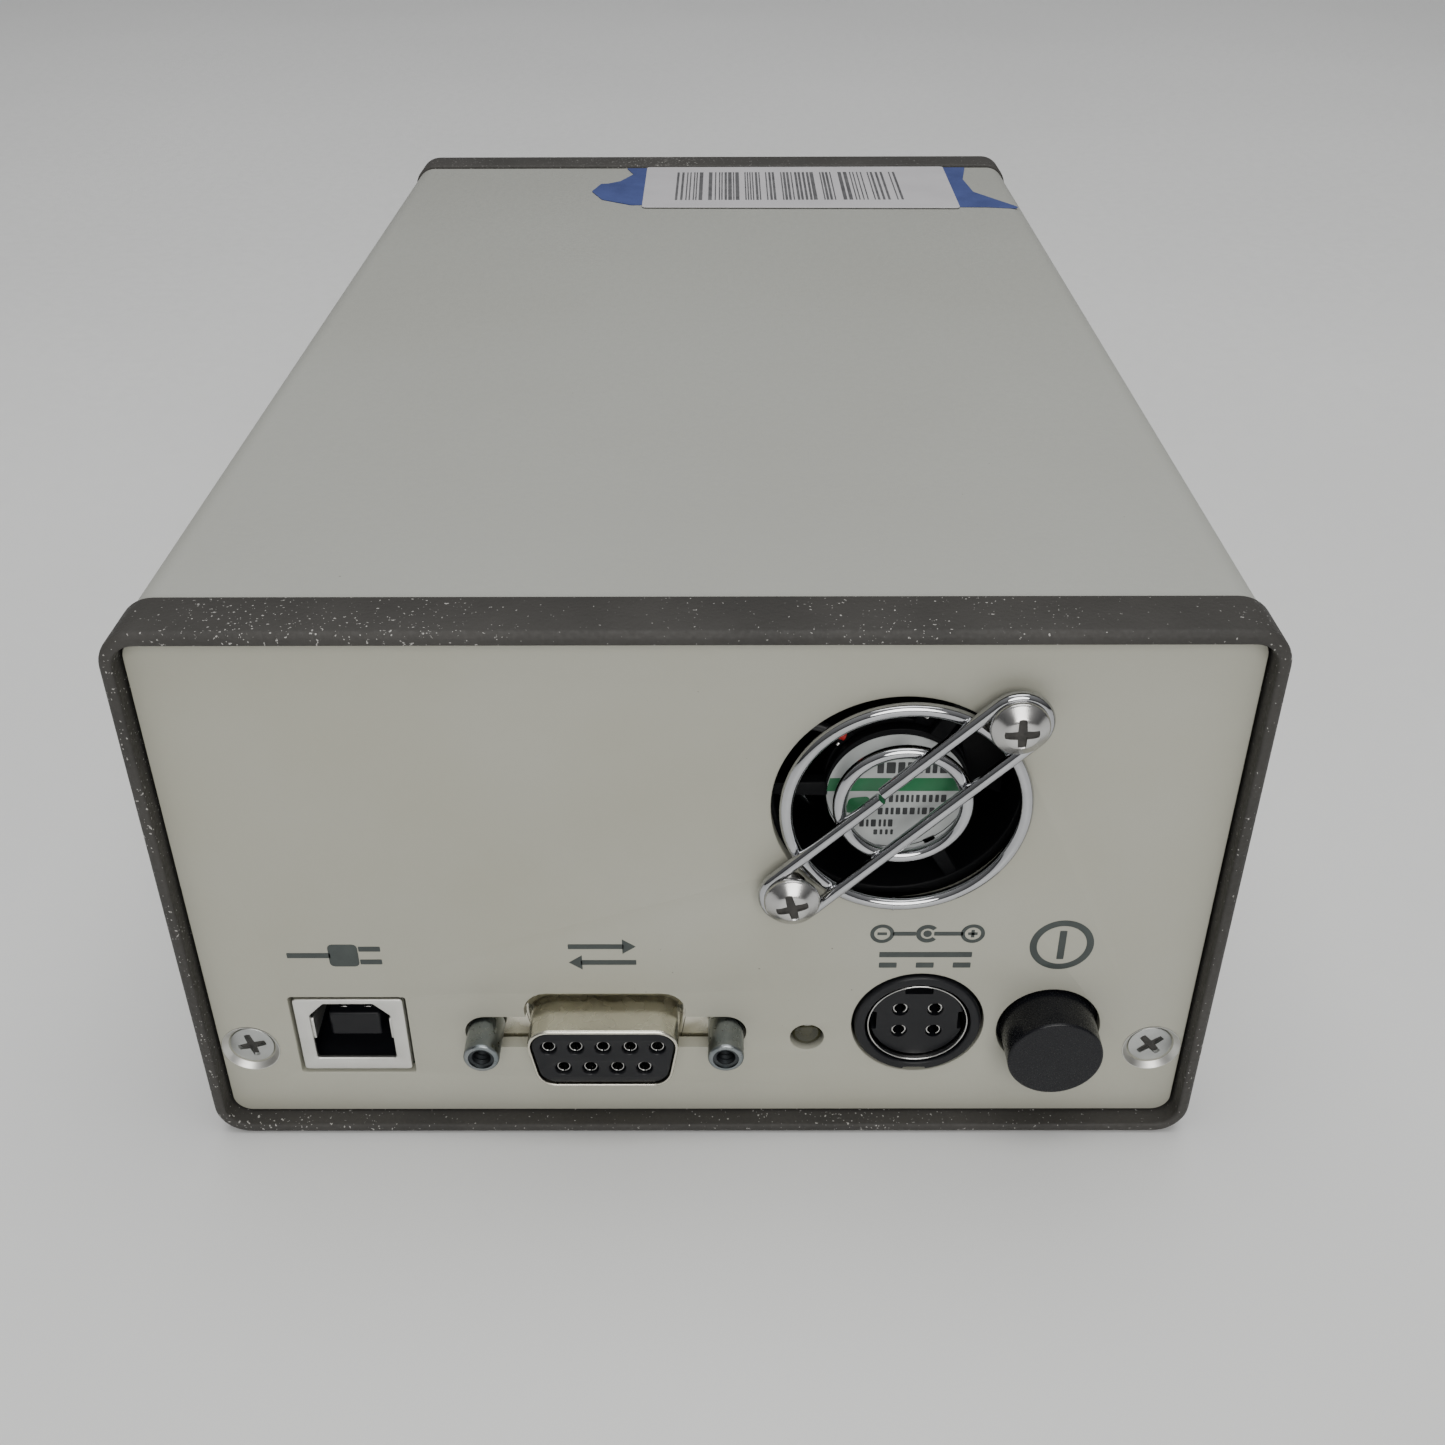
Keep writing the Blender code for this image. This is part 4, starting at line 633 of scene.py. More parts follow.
def makeEndScrews():
    shape = endScrewShape
    radius, shaft, sink = shape["radius"], shape["shaft"], shape["sink"]
    for place, turn in shape["turns"].items():
        side, hand = place.split("_")
        way = -1 if side == "rear" else 1
        node, name = f"{side}_screw_{hand}", f"{side}_panel_screw_{hand}"
        low, high = span(node)
        spot = centreOf(node)
        face, end = (low.y, high.y) if way < 0 else (high.y, low.y)
        neck = face - way * (radius - shaft)
        cup = [(sink + 0.06, face + way * shape["cupDeep"]), (sink, face + way * shape["cupDeep"]),
               (radius + 0.01, face + way * 0.02), (radius + 0.07, face + way * 0.01)]
        addPiece(f"{name}_seat", turned(cup, spot.x, spot.z, 64, looped=True), "portTin")
        threads = shank(end, neck, shaft, 0.2, 1.0)
        head = filleted([threads[-1], (shaft, neck), (radius, face, shape["rim"]), (0, face)],
                        looped=False, steps=4)
        addScrew(name, node, threads + head[1:], face, way, shape["crossSize"], shape["crossDepth"], turn,
                 "screwSatin", 64)


squarePortShape = {"corner": 0.4, "skin": 0.5, "mouth": 4.17, "mouthLow": 3.35, "mouthHigh": 4.3, "clip": 1.6,
                   "tongue": (5.4, 3.2), "tongueAt": 1.5, "lining": 0.35, "contact": (0.75, 0.16), "pitch": 2.5}


def makeSquarePort():
    shape = squarePortShape
    low, high = span("usb_shell")
    u, v = (low.x + high.x) / 2, (low.z + high.z) / 2
    width, height = high.x - low.x, high.z - low.z
    half, clip, skin, lining = shape["mouth"], shape["clip"], shape["skin"], shape["lining"]
    bottom, top = v - shape["mouthLow"], v + shape["mouthHigh"]
    mouth = filleted([
        (u - half, bottom, 0.3), (u + half, bottom, 0.3), (u + half, top - clip, 0.35),
        (u + half - clip, top, 0.35), (u - half + clip, top, 0.35), (u - half, top - clip, 0.35),
    ], steps=4)
    outer = roundedBox(u, v, width, height, shape["corner"])
    inner = roundedBox(u, v, width - 2 * skin, height - 2 * skin, 0.2)
    shell = [slab([outer, mouth], low.y, low.y + skin, 0.14),
             slab([outer, inner], low.y + skin - 0.02, high.y, 0.05)]
    tab = filleted([(low.y + 0.3, v - 0.9, 0.3), (low.y + 0.3, v + 2.1, 0.3),
                    (low.y + 8, v + 1.6, 0.4), (low.y + 8, v - 0.4, 0.4)], steps=4)
    for side in (-1, 1):
        across = u + side * (half - 0.1)
        shell.append(slab([tab], across - 0.15, across + 0.15, 0.08, "x"))
    addPiece("square_port_shell", together(*shell), "portTin", ["usb_shell"])

    front, tongueFront = low.y + skin + 0.15, low.y + shape["tongueAt"]
    high = span("usb_insulator")[1]
    wide, tall = width - 2 * skin - 0.3, height - 2 * skin - 0.3
    inner = roundedBox(u, v, wide - 2 * lining, tall - 2 * lining, 0.2)
    sleeve = slab([roundedBox(u, v, wide, tall, 0.2), inner], front, high.y - 0.2, 0.05)
    back = slab([roundedBox(u, v, wide - lining, tall - lining, 0.2)], front + 8.4, high.y - 0.3, 0.1)
    tongue = slab([roundedBox(u, v + 0.1, *shape["tongue"], 0.35)], tongueFront, front + 8.8, 0.3)
    addPiece("square_port_core", together(sleeve, back, tongue), "portBlack", ["usb_insulator"])
    reach = shape["tongue"][1] / 2
    strips = []
    for side in (-1, 1):
        for column in (-1, 1):
            strip = sharpBox(u + column * shape["pitch"] / 2, v + 0.1 + side * reach, *shape["contact"])
            strips.append(slab([strip], tongueFront + 0.9, front + 8.6, 0.05))
    addPiece("square_port_contacts", together(*strips), "contactTin")


dPortShape = {"hood": (16.33, 7.9), "flange": (30.8, 11.8), "flangeThick": 0.8, "wall": 0.4, "radius": 2.35,
              "lip": 0.3, "root": 0.9, "pitch": 2.77, "rowPitch": 2.84, "rows": ((1, 5), (-1, 4)), "hole": 0.84,
              "contact": 0.7, "contactThick": 0.14, "block": (21.0, 11.4)}


def dCentre():
    return (centreOf("jackscrew_left") + centreOf("jackscrew_right")) / 2


def makeDConnector():
    shape = dPortShape
    low, high = span("dsub_shell")
    insertLow, insertHigh = span("dsub_insert")
    u, v = dCentre().x, dCentre().z
    width, height = shape["hood"]
    flangeFace = high.y - shape["flangeThick"]
    wall, root, lip = shape["wall"], shape["root"], shape["lip"]
    section = filleted([
        (-root, flangeFace), (0, flangeFace, root * 0.9), (0, low.y, lip), (wall, low.y, 0.1),
        (wall, high.y), (-root, high.y),
    ], steps=6)
    rings = []
    for inset, along in section:
        loop = dShape(u, v, width - 2 * inset, height - 2 * inset, shape["radius"] - inset, 8)
        rings.append([(a, along, b) for a, b in loop])
    hood = loft(rings, looped=True)
    loops = [roundedBox(u, v, *shape["flange"], 1.0), dShape(u, v, width + root, height + root, 2.7, 8)]
    for node in ("jackscrew_left", "jackscrew_right"):
        spot = centreOf(node)
        loops.append(circle(spot.x, spot.z, 1.55, 32))
    flange = slab(loops, flangeFace, high.y, 0.12)
    addPiece("d_connector_shell", together(hood, flange), "tin_metal", ["dsub_shell"])

    spots = []
    for row, count in shape["rows"]:
        for index in range(count):
            across = u + (index - (count - 1) / 2) * shape["pitch"]
            spots.append((across, v + row * shape["rowPitch"] / 2))
    inside = 2 * wall + 0.3
    face = dShape(u, v, width - inside, height - inside, 1.8, 8)
    holes = [circle(*spot, shape["hole"], 28) for spot in spots]
    front = slab([face] + holes, insertLow.y, insertLow.y + 4.4, 0.16)
    plug = slab([dShape(u, v, width - inside - 0.2, height - inside - 0.2, 1.7)],
                insertLow.y + 4.3, high.y + 0.6, 0.05)
    body = slab([roundedBox(u, v, *shape["block"], 0.8)], high.y + 0.3, insertHigh.y, 0.3)
    addPiece("d_connector_insert", together(front, plug, body), "portBlack", ["dsub_insert"])
    outer, inner = shape["contact"], shape["contact"] - shape["contactThick"]
    mouth, root = insertLow.y + 0.35, insertLow.y + 4.2
    ring = filleted([(outer, root), (outer, mouth, 0.06), (inner, mouth, 0.06), (inner, root)], steps=3)
    sleeves = []
    for a, b in spots:
        slit = slab([sharpBox(a, b, 0.14, 1.4)], insertLow.y, insertLow.y + 2.6, 0)
        sleeves.append(carved(turned(ring, a, b, 24, looped=True), slit))
    addPiece("d_connector_sockets", together(*sleeves), "contactTin")


jackShape = {"radius": 1.85, "chamfer": 0.35, "bore": 1.22, "root": 0.98, "pitch": 0.64, "threads": 6}


def makeJackScrews():
    shape = jackShape
    radius, bore, root = shape["radius"], shape["bore"], shape["root"]
    for hand in ("left", "right"):
        node = f"jackscrew_{hand}"
        low, high = span(node)
        spot = centreOf(node)
        seat, deep = high.y - 4.5, low.y + 5.2
        outside = filleted([
            (0, high.y), (1.15, high.y, 0.3), (1.15, seat), (radius, seat, 0.1),
            (radius, low.y, shape["chamfer"]), (bore + 0.12, low.y, 0.15),
        ], looped=False, steps=5) + [(bore + 0.1, deep), (0, deep)]
        addPiece(f"jack_screw_{hand}", turned(outside, spot.x, spot.z, 56), "zinc_metal", [node])
        thread = [(bore + 0.12, deep + 0.1), (bore + 0.12, low.y + 0.2)]
        for turn in range(shape["threads"]):
            along = low.y + 0.25 + turn * shape["pitch"]
            thread += [(root, along), (bore, along + shape["pitch"] / 2)]
        thread += [(root, thread[-1][1] + 0.2), (0.05, thread[-1][1] + 0.7)]
        addPiece(f"jack_screw_bore_{hand}", turned(thread, spot.x, spot.z, 56, looped=True), "boreShade")


socketShape = {"radius": 6.55, "bore": 5.45, "faceEdge": 0.35, "ring": (5.03, 5.22), "core": 4.86,
               "coreAhead": 0.1, "topKey": (2.9, 2.4), "sideKey": (1.3, 2.4), "contactsAt": (1.8, 1.5),
               "hole": 0.86, "clip": (0.6, 0.78)}


def socketCentre():
    return centreOf("din_ring")


def makePowerSocket():
    shape = socketShape
    u, v = socketCentre().x, socketCentre().z
    low, high = span("din_housing")
    radius, bore = shape["radius"], shape["bore"]
    profile = filleted([(bore, low.y + 12), (radius, low.y + 12), (radius, low.y, shape["faceEdge"]),
                        (bore, low.y, 0.2)], steps=6)
    notch = slab([roundedBox(u, v - radius + 0.1, 2.4, 0.9, 0.2)], low.y - 1, low.y + 1.2, 0)
    housing = carved(turned(profile, u, v, 96, looped=True), notch)
    block = slab([roundedBox(u, (low.z + high.z) / 2, 13.0, high.z - low.z - 0.02, 0.5)],
                 low.y + 10.5, high.y, 0.3)
    addPiece("power_socket_housing", together(housing, block), "portBlack", ["din_housing"])
    low, high = span("din_ring")
    inner, outer = shape["ring"]
    profile = filleted([(inner, high.y), (outer, high.y), (outer, low.y - 0.3, 0.1), (inner, low.y - 0.3, 0.1)],
                       steps=4)
    addPiece("power_socket_ring", turned(profile, u, v, 96, looped=True), "contactTin", ["din_ring"])

    low, high = span("din_insert")
    face, core, (right, up) = low.y - shape["coreAhead"], shape["core"], shape["contactsAt"]
    contacts = [(u + a * right, v + b * up) for a in (-1, 1) for b in (-1, 1)]
    profile = filleted([(0, face + 5), (core, face + 5), (core, face, 0.15), (0, face)], looped=False, steps=3)
    cuts = [slab([circle(*contact, shape["hole"], 28)], face - 1, face + 4.2, 0) for contact in contacts]
    for a, b, key in ((0, 1, "topKey"), (-1, 0, "sideKey"), (1, 0, "sideKey")):
        cuts.append(slab([roundedBox(u + a * core, v + b * core, *shape[key], 0.15)], face - 1, face + 2.4, 0))
    body = carved(turned(profile, u, v, 96), *cuts)
    base = turned([(0, high.y), (4.3, high.y), (4.3, face + 4.8), (0, face + 4.8)], u, v)
    addPiece("power_socket_core", together(body, base), "portBlack", ["din_insert"])
    clips = []
    inner, outer = shape["clip"]
    for a, b in contacts:
        for middle in (180, 0):
            leaf = arc(a, b, outer, middle - 62, middle + 62, 8) + arc(a, b, inner, middle + 62, middle - 62, 8)
            clips.append(slab([leaf], face + 0.22, face + 4.2, 0.05))
    addPiece("power_socket_contacts", together(*clips), "contactTin")


lampShape = {"radius": 1.55, "down": 1.9, "dome": 0.6, "rim": 1.9, "back": 3.4, "legPitch": 2.0, "leg": 0.5}


def makeLamp():
    shape = lampShape
    low, high = span("status_led")
    u, v, radius, leg = (low.x + high.x) / 2, high.z - shape["down"], shape["radius"], shape["leg"]
    back = low.y + shape["back"]
    profile = [(0, back), (shape["rim"], back), (shape["rim"], back - 1), (radius, back - 1)]
    bulge = [math.radians(10 * step) for step in range(9)]
    profile += [(radius * math.cos(t), low.y + 0.5 + shape["dome"] * (1 - math.sin(t))) for t in bulge]
    profile.append((0, low.y + 0.5))
    bend = filleted([(back - 0.1, v - leg / 2), (back - 0.1, v + leg / 2), (high.y, v + leg / 2, 0.6),
                     (high.y, low.z), (high.y - leg, low.z), (high.y - leg, v - leg / 2, 0.2)], steps=5)
    legs = []
    for side in (-1, 1):
        across = u + side * shape["legPitch"] / 2
        legs.append(slab([bend], across - leg / 2, across + leg / 2, 0.05, "x"))
    addPiece("status_lamp", together(turned(profile, u, v, 56), *legs), "lamp_lens", ["status_led"])


buttonShape = {"radius": 4.9, "rim": 0.3, "collar": 5.7, "collarThick": 1.25, "stem": 1.5, "dish": 0.06}


def makeButton():
    shape = buttonShape
    radius, collar, stem = shape["radius"], shape["collar"], shape["stem"]
    low, high = span("power_button")
    spot = centreOf("power_button")
    front = span("rear_panel")[1].y + 0.45
    back = front + shape["collarThick"]
    profile = filleted([
        (0, high.y), (stem, high.y, 0.3), (stem, back, 0.2), (collar, back, 0.2), (collar, front, 0.2),
        (radius, front), (radius - 0.05, low.y, shape["rim"]), (0, low.y + shape["dish"]),
    ], looped=False, steps=8)
    addPiece("push_button_cap", turned(profile, spot.x, spot.z, 112), "button_plastic", ["power_button"],
             "power_button")


springShape = {"wire": 0.3, "turns": 4, "steps": 24, "travel": 2.5, "flatEnd": 0.08}


def makeButtonSpring():
    shape = springShape
    thick, flat = shape["wire"], shape["flatEnd"]
    low, high = span("switch_spring")
    middle = centreOf("switch_spring")
    radius, length = (high.x - low.x) / 2 - thick, high.y - low.y
    count = shape["turns"] * shape["steps"]
    path = []
    for step in range(count + 1):
        climb = min(1, max(0, (step / count - flat) / (1 - 2 * flat)))
        angle = 2 * math.pi * step / shape["steps"]
        path.append((middle.x + radius * math.cos(angle), low.y + thick + (length - 2 * thick) * climb,
                     middle.z + radius * math.sin(angle)))
    spring = addPiece("button_spring", wire(path, thick * 0.97, sides=12), "spring_metal", ["switch_spring"])
    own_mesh(spring)


fanShape = {"duct": 11.7, "corner": 2.4, "base": 6.85, "screwPitch": 19.8, "leadAngle": 35,
            "struts": (60, 180, 300), "blades": 7, "hub": 6.9, "tip": 11.15, "sections": 6,
            "pitch": (48, -16), "chord": (4.4, 1.5), "sweep": -0.9, "bow": 0.55, "bladeThick": 0.2}


def fanCentre():
    return centreOf("fan_shaft")


def bladeSection(share):  # share is 0 at the root and 1 at the tip: the blade twists and sweeps as it goes out
    shape = fanShape
    pitch = math.radians(shape["pitch"][0] + shape["pitch"][1] * share)
    chord = shape["chord"][0] + shape["chord"][1] * share
    outline = []
    for surface in (1, -1):
        for step in range(9):
            place = step / 8 if surface > 0 else 1 - step / 8
            fullness = 1 - (2 * place - 1) ** 2
            up = shape["bow"] * fullness + surface * shape["bladeThick"] * math.sqrt(max(fullness, 0.02))
            along = (place - 0.5) * chord
            outline.append((along * math.sin(pitch) + up * math.cos(pitch),
                            along * math.cos(pitch) - up * math.sin(pitch) + shape["sweep"] * share))
    return outline


def makeFan():
    shape = fanShape
    spot = fanCentre()
    u, v = spot.x, spot.z
    low, high = span("fan_frame")
    start, half, root = low.y, shape["screwPitch"] / 2, shape["base"]
    loops = [roundedBox(u, v, high.x - low.x, high.z - low.z, shape["corner"]), circle(u, v, shape["duct"], 96)]
    loops += [circle(u + a * half, v + b * half, 1.55, 28) for a in (-1, 1) for b in (-1, 1)]
    leadSlot = slab([roundedBox(u - 14.2, v, 6.6, 3.4, 0.3)], start - 1, start + 2.6, 0)
    pieces = [carved(slab(loops, start, high.y, 0.2), spun(leadSlot, u, v, -shape["leadAngle"]))]
    strut = [(u + root - 0.5, v - 0.85), (u + 12.1, v - 0.7), (u + 12.1, v + 0.7), (u + root - 0.5, v + 0.85)]
    for angle in shape["struts"]:
        pieces.append(spun(slab([strut], start + 0.15, start + 1.6, 0.25), u, v, angle))
    base = filleted([(0, start + 1.25), (root, start + 1.25, 0.2), (root, start + 0.12, 0.1),
                     (6.75, start + 0.12), (6.72, start + 0.2), (0, start + 0.2)], looped=False, steps=5)
    pieces.append(turned(base, u, v, 96))
    tube = [(2.05, start + 1.1), (2.6, start + 1.1), (2.6, start + 7.8), (2.05, start + 7.8)]
    pieces.append(turned(tube, u, v, 40, looped=True))
    addPiece("fan_housing", together(*pieces), "fanBlack", ["fan_frame"])

    low, high = span("fan_rotor")
    front, rear, hub = low.y, high.y, shape["hub"]
    bore = hub - 0.7
    profile = filleted([
        (0, rear), (hub, rear, 0.6), (hub, front, 0.15), (bore, front, 0.1), (bore, rear - 1), (1.8, rear - 1),
        (1.8, rear - 1.3), (1.0, rear - 1.3), (1.0, rear - 0.4), (0, rear - 0.4),
    ], looped=False, steps=5)
    rotor = [turned(profile, u, v, 96)]
    middle = (front + rear) / 2 + 0.1
    for number in range(shape["blades"]):
        rings = []
        for section in range(shape["sections"] + 1):
            share = section / shape["sections"]
            away = bore + 0.3 + (shape["tip"] - bore - 0.3) * share
            rings.append([(u + away * math.cos(b / away), middle + a, v + away * math.sin(b / away))
                          for a, b in bladeSection(share)])
        rotor.append(spun(loft(rings), u, v, number * 360 / shape["blades"]))
    addPiece("fan_impeller", together(*rotor), "fanBlack", ["fan_rotor"], "fan_rotor")


leadShape = {"y": 1.25, "red": 0.42, "sleeve": 0.5, "bare": ((7.35, 134, 0), (8.65, 137, 0)),
             "inFan": ((9.6, 140, 0.3), (11.4, 144, 0.4), (16.4, 145, 0.4)),
             "inBox": ((3.4, 22.0, 32.0), (3.2, 30.0, 20.0), (3.2, 33.5, 13.0)),
             "solder": ((7.6, 126, 0.34), (7.2, 142, 0.3), (7.9, 72, 0.42)), "pads": (72, 100, 134)}


def makeLeads():
    shape = leadShape
    spot = fanCentre()
    y = span("fan_frame")[0].y + shape["y"]

    def at(radius, angle, along=0.0):  # round the fan's centre
        turn = math.radians(angle)
        return spot.x + radius * math.cos(turn), y + along, spot.z + radius * math.sin(turn)

    bare = [at(*place) for place in shape["bare"]]
    addPiece("fan_lead_red_end", wire(bare, shape["red"]), "red_wire", ["fan_lead_red"])
    way = [bare[1]] + [at(*place) for place in shape["inFan"]]
    across, _, height = way[-1]
    way += [(across - 1.4, 7.6, height - 0.6), (3.6, 13.0, height - 8.0), *shape["inBox"],
            (3.2, 34.0, span("fan_lead_red")[0].z + 0.3)]
    sleeve = wire([way[0]] + smoothed(way), shape["sleeve"])
    addPiece("fan_lead_sleeve", sleeve, "black_wire", ["fan_lead_black"])
    bits = [bead(at(radius, angle, 0.1), size) for radius, angle, size in shape["solder"]]
    pads = []
    for angle in shape["pads"]:
        corners = [at(7.0, angle - 7), at(8.4, angle - 7), at(8.4, angle + 7), at(7.0, angle + 7)]
        pads.append(slab([[(a, b) for a, _, b in corners]], y - 0.1, y + 0.7, 0.05))
    addPiece("fan_solder", together(*bits), "contactTin")
    addPiece("fan_pads", together(*pads), "fanBlack")


fanLabelShape = {
    "radius": 6.7, "drop": 0.5, "thick": 0.05, "band": (0.3, 1.8), "seed": 11,
    "leaf": ((-4.9, -2.2, 0.4), (-3.0, -2.4, 0.3), (-2.4, -0.3, 0.4), (-4.5, -0.5, 0.6)),
    "rows": ((2.35, 1.25, -2.0, 4.2), (-1.0, 0.85, -1.5, 4.6), (-2.45, 0.8, -1.7, 4.2),
             (-3.9, 0.85, -3.4, -0.4), (-4.85, 0.6, -2.0, 0.0)),  # height, bar height, first and last place
}


def makeFanLabel():
    shape = fanLabelShape
    spot = fanCentre()
    u, v = spot.x, spot.z - shape["drop"]
    seat = span("fan_frame")[0].y + 0.2
    face = seat - shape["thick"]
    disc = slab([circle(u, v, shape["radius"], 96)], face, seat + 0.02, 0.02)
    addPiece("fan_label", disc, "labelFilm")
    radius = shape["radius"] - 0.05
    low, high = [math.degrees(math.asin(height / radius)) for height in shape["band"]]
    band = arc(u, v, radius, low, high, 6) + arc(u, v, radius, 180 - high, 180 - low, 6)
    leaf = filleted([(u + a, v + b, corner) for a, b, corner in shape["leaf"]], steps=5)
    greens = [slab([outline], face - 0.02, face + 0.01, 0.005) for outline in (band, leaf)]
    addPiece("fan_label_band", together(*greens), "labelGreen")
    dice = random.Random(shape["seed"])
    bars = []
    for height, tall, across, last in shape["rows"]:
        while across < last:
            wide = dice.uniform(0.22, 0.5) * (1.8 if tall > 1 else 1)
            bars.append(slab([roundedBox(u + across + wide / 2, v + height + tall / 2, wide, tall, 0.08, 2)],
                             face - 0.03, face + 0.01, 0.004))
            across += wide + dice.uniform(0.18, 0.28)
    addPiece("fan_label_lines", together(*bars), "labelInk")


guardShape = {"ringWire": 0.66, "loopWire": 0.62, "loopEnd": 2.65, "ringY": 1.15, "loopY": 0.25,
              "outer": (0.6, -0.4, 11.2), "inner": (0.3, 0.25, 5.95), "gap": 0.25, "endsApart": 0.3}


def makeGuard():
    shape = guardShape
    spot = fanCentre()
    pieces = []
    for name, steps in (("outer", 128), ("inner", 96)):
        right, up, radius = shape[name]
        path = [(u, shape["ringY"], v) for u, v in circle(spot.x + right, spot.z + up, radius, steps)]
        pieces.append(wire(path, shape["ringWire"], looped=True, sides=20))
    fixings = [centreOf("guard_screw_lower"), centreOf("guard_screw_upper")]
    ends = [Vector((fixing.x, fixing.z)) for fixing in fixings]
    loop = stadium(*ends, shape["loopEnd"], 20)
    far, near = Vector(loop[20]), Vector(loop[21])  # the straight side where the wire's two ends meet
    along = (near - far).normalized()
    aside = Vector((-along.y, along.x)) * shape["endsApart"] / 2
    middle = far.lerp(near, 0.5)
    path = [tuple(middle + along * shape["gap"] + aside)] + loop[21:] + loop[:21]
    path.append(tuple(middle - along * shape["gap"] - aside))
    pieces.append(wire([(u, shape["loopY"], v) for u, v in path], shape["loopWire"], sides=20))
    heading = (ends[1] - ends[0]).normalized()
    side = Vector((-heading.y, heading.x))
    weldY = (shape["ringY"] + shape["loopY"]) / 2
    for name in ("outer", "inner"):  # a weld where each ring crosses the loop
        right, up, radius = shape[name]
        centre = Vector((spot.x + right, spot.z + up))
        off = (centre - ends[0]).dot(side)
        for flank in (-1, 1):
            across = flank * shape["loopEnd"] - off
            for way in (-1, 1):
                at = centre + side * across + heading * way * math.sqrt(radius ** 2 - across ** 2)
                pieces.append(bead((at.x, weldY, at.y), 0.5, (1.25, 0.8, 1.1)))
    right, up, radius = shape["outer"]
    wide = shape["ringWire"] + 0.06
    seam = turned([(0, -0.1), (wide, -0.08), (wide, 0.08), (0, 0.1)], 0, 0, 24)
    place = (spot.x + right - 0.6, shape["ringY"], spot.z + up - radius + 0.02)
    seam.transform(Matrix.Translation(place) @ Matrix.Rotation(math.radians(90), 4, "Z"))
    addPiece("wire_finger_guard", together(*pieces, seam), "guard_chrome", ["finger_guard"], crease=50)


guardScrewShape = {"radius": 2.7, "dome": 0.95, "flat": 0.5, "shaft": 1.2, "seat": 1.45,
                   "turns": {"upper": 3, "lower": 15}, "nut": 3.0}


def makeGuardScrews():
    shape = guardScrewShape
    radius, shaft, dome, flat = shape["radius"], shape["shaft"], shape["dome"], shape["flat"]
    for name, turn in shape["turns"].items():
        node = f"guard_screw_{name}"
        low, high = span(node)
        seat, crown = low.y + shape["seat"], low.y + 0.02
        head = filleted([(shaft, seat), (radius, seat, 0.12), (radius, crown + dome, dome * 0.5),
                         (radius * flat, crown, radius * (1 - flat) * 0.95), (0, crown - 0.01)],
                        looped=False, steps=10)
        profile = shank(high.y, seat, shaft, 0.25, 1.4) + head
        addScrew(f"guard_fixing_{name}", node, profile, crown, -1, radius, (seat - crown) * crossShape["depth"],
                 turn, "screw_metal", 72)
        node = f"guard_nut_{name}"
        low, high = span(node)
        spot = centreOf(node)
        flats = circle(spot.x, spot.z, shape["nut"], 6)
        nut = slab([flats, circle(spot.x, spot.z, 1.5, 32)], low.y, high.y, 0.25)
        addPiece(f"guard_fixing_nut_{name}", nut, "zinc_metal", [node])


# the marks' places are above their ports' middles
markShape = {"thick": 0.035, "edge": 0.012, "stroke": 0.72, "thin": 0.5, "plug": (0.35, 11.1),
             "data": (0.1, 10.7), "current": (0.2, 9.45), "polarity": (0.2, 12.2), "switch": (0.1, 11.4)}


def makeMarks():
    shape = markShape
    face = span("rear_panel")[0].y
    stroke, thin = shape["stroke"], shape["thin"]

    def printed(*loops):
        return slab(loops, face - shape["thick"], face + 0.05, shape["edge"])

    def bar(u, v, width, height, radius=0.08):
        return printed(roundedBox(u, v, width, height, radius, 3))

    def arrow(tail, head, v):
        way = 1 if head > tail else -1
        shaft = bar((tail + head - way * 1.2) / 2, v, abs(head - tail) - 1.2, 0.62)
        return [shaft, printed([(head, v), (head - way * 1.35, v + 0.95), (head - way * 1.35, v - 0.95)])]

    def placeOf(mark, port):
        return port.x + shape[mark][0], port.z + shape[mark][1]

    u, v = placeOf("plug", centreOf("usb_shell"))  # a lead, a body and two blades
    plug = [bar(u - 3.3, v, 4.4, 0.66), bar(u + 0.2, v, 3.0, 2.9, 0.5)]
    plug += [bar(u + 2.9, v + side * 0.85, 2.2, 0.64) for side in (-1, 1)]
    addPiece("plug_mark", together(*plug), "markInk")

    u, v = placeOf("data", dCentre())  # one arrow in, one out
    pair = arrow(u - 3.4, u + 3.4, v + 1.05) + arrow(u + 3.4, u - 3.4, v - 1.05)
    addPiece("data_mark", together(*pair), "markInk")

    u, v = placeOf("current", socketCentre())  # one line over three dashes
    lines = [bar(u, v, 9.3, 0.68)] + [bar(u + way * 3.72, v - 1.4, 1.8, 0.68) for way in (-1, 0, 1)]
    addPiece("direct_current_mark", together(*lines), "markInk")

    u, v = placeOf("polarity", socketCentre())  # a dot in a cup, between minus and plus
    cup = arc(u, v, 1.15, 40, 320, 30) + arc(u, v, 0.67, 320, 40, 30)
    signs = [printed(circle(u, v, 0.42, 40)), printed(cup)]
    signs += [bar(u - 2.3, v, 2.3, thin), bar(u + 2.1, v, 2.9, thin)]
    for middle in (u - 4.5, u + 4.5):
        signs.append(printed(circle(middle, v, 1.2, 48), circle(middle, v, 0.8, 48)))
        signs.append(bar(middle, v, 0.95, 0.34, 0.04))
    signs.append(bar(u + 4.5, v, 0.34, 0.95, 0.04))
    addPiece("polarity_mark", together(*signs), "markInk")

    u, v = placeOf("switch", centreOf("power_button"))
    ring = printed(circle(u, v, 3.2, 72), circle(u, v, 3.2 - stroke, 72))
    addPiece("switch_mark", together(ring, bar(u, v, stroke, 3.7)), "markInk")


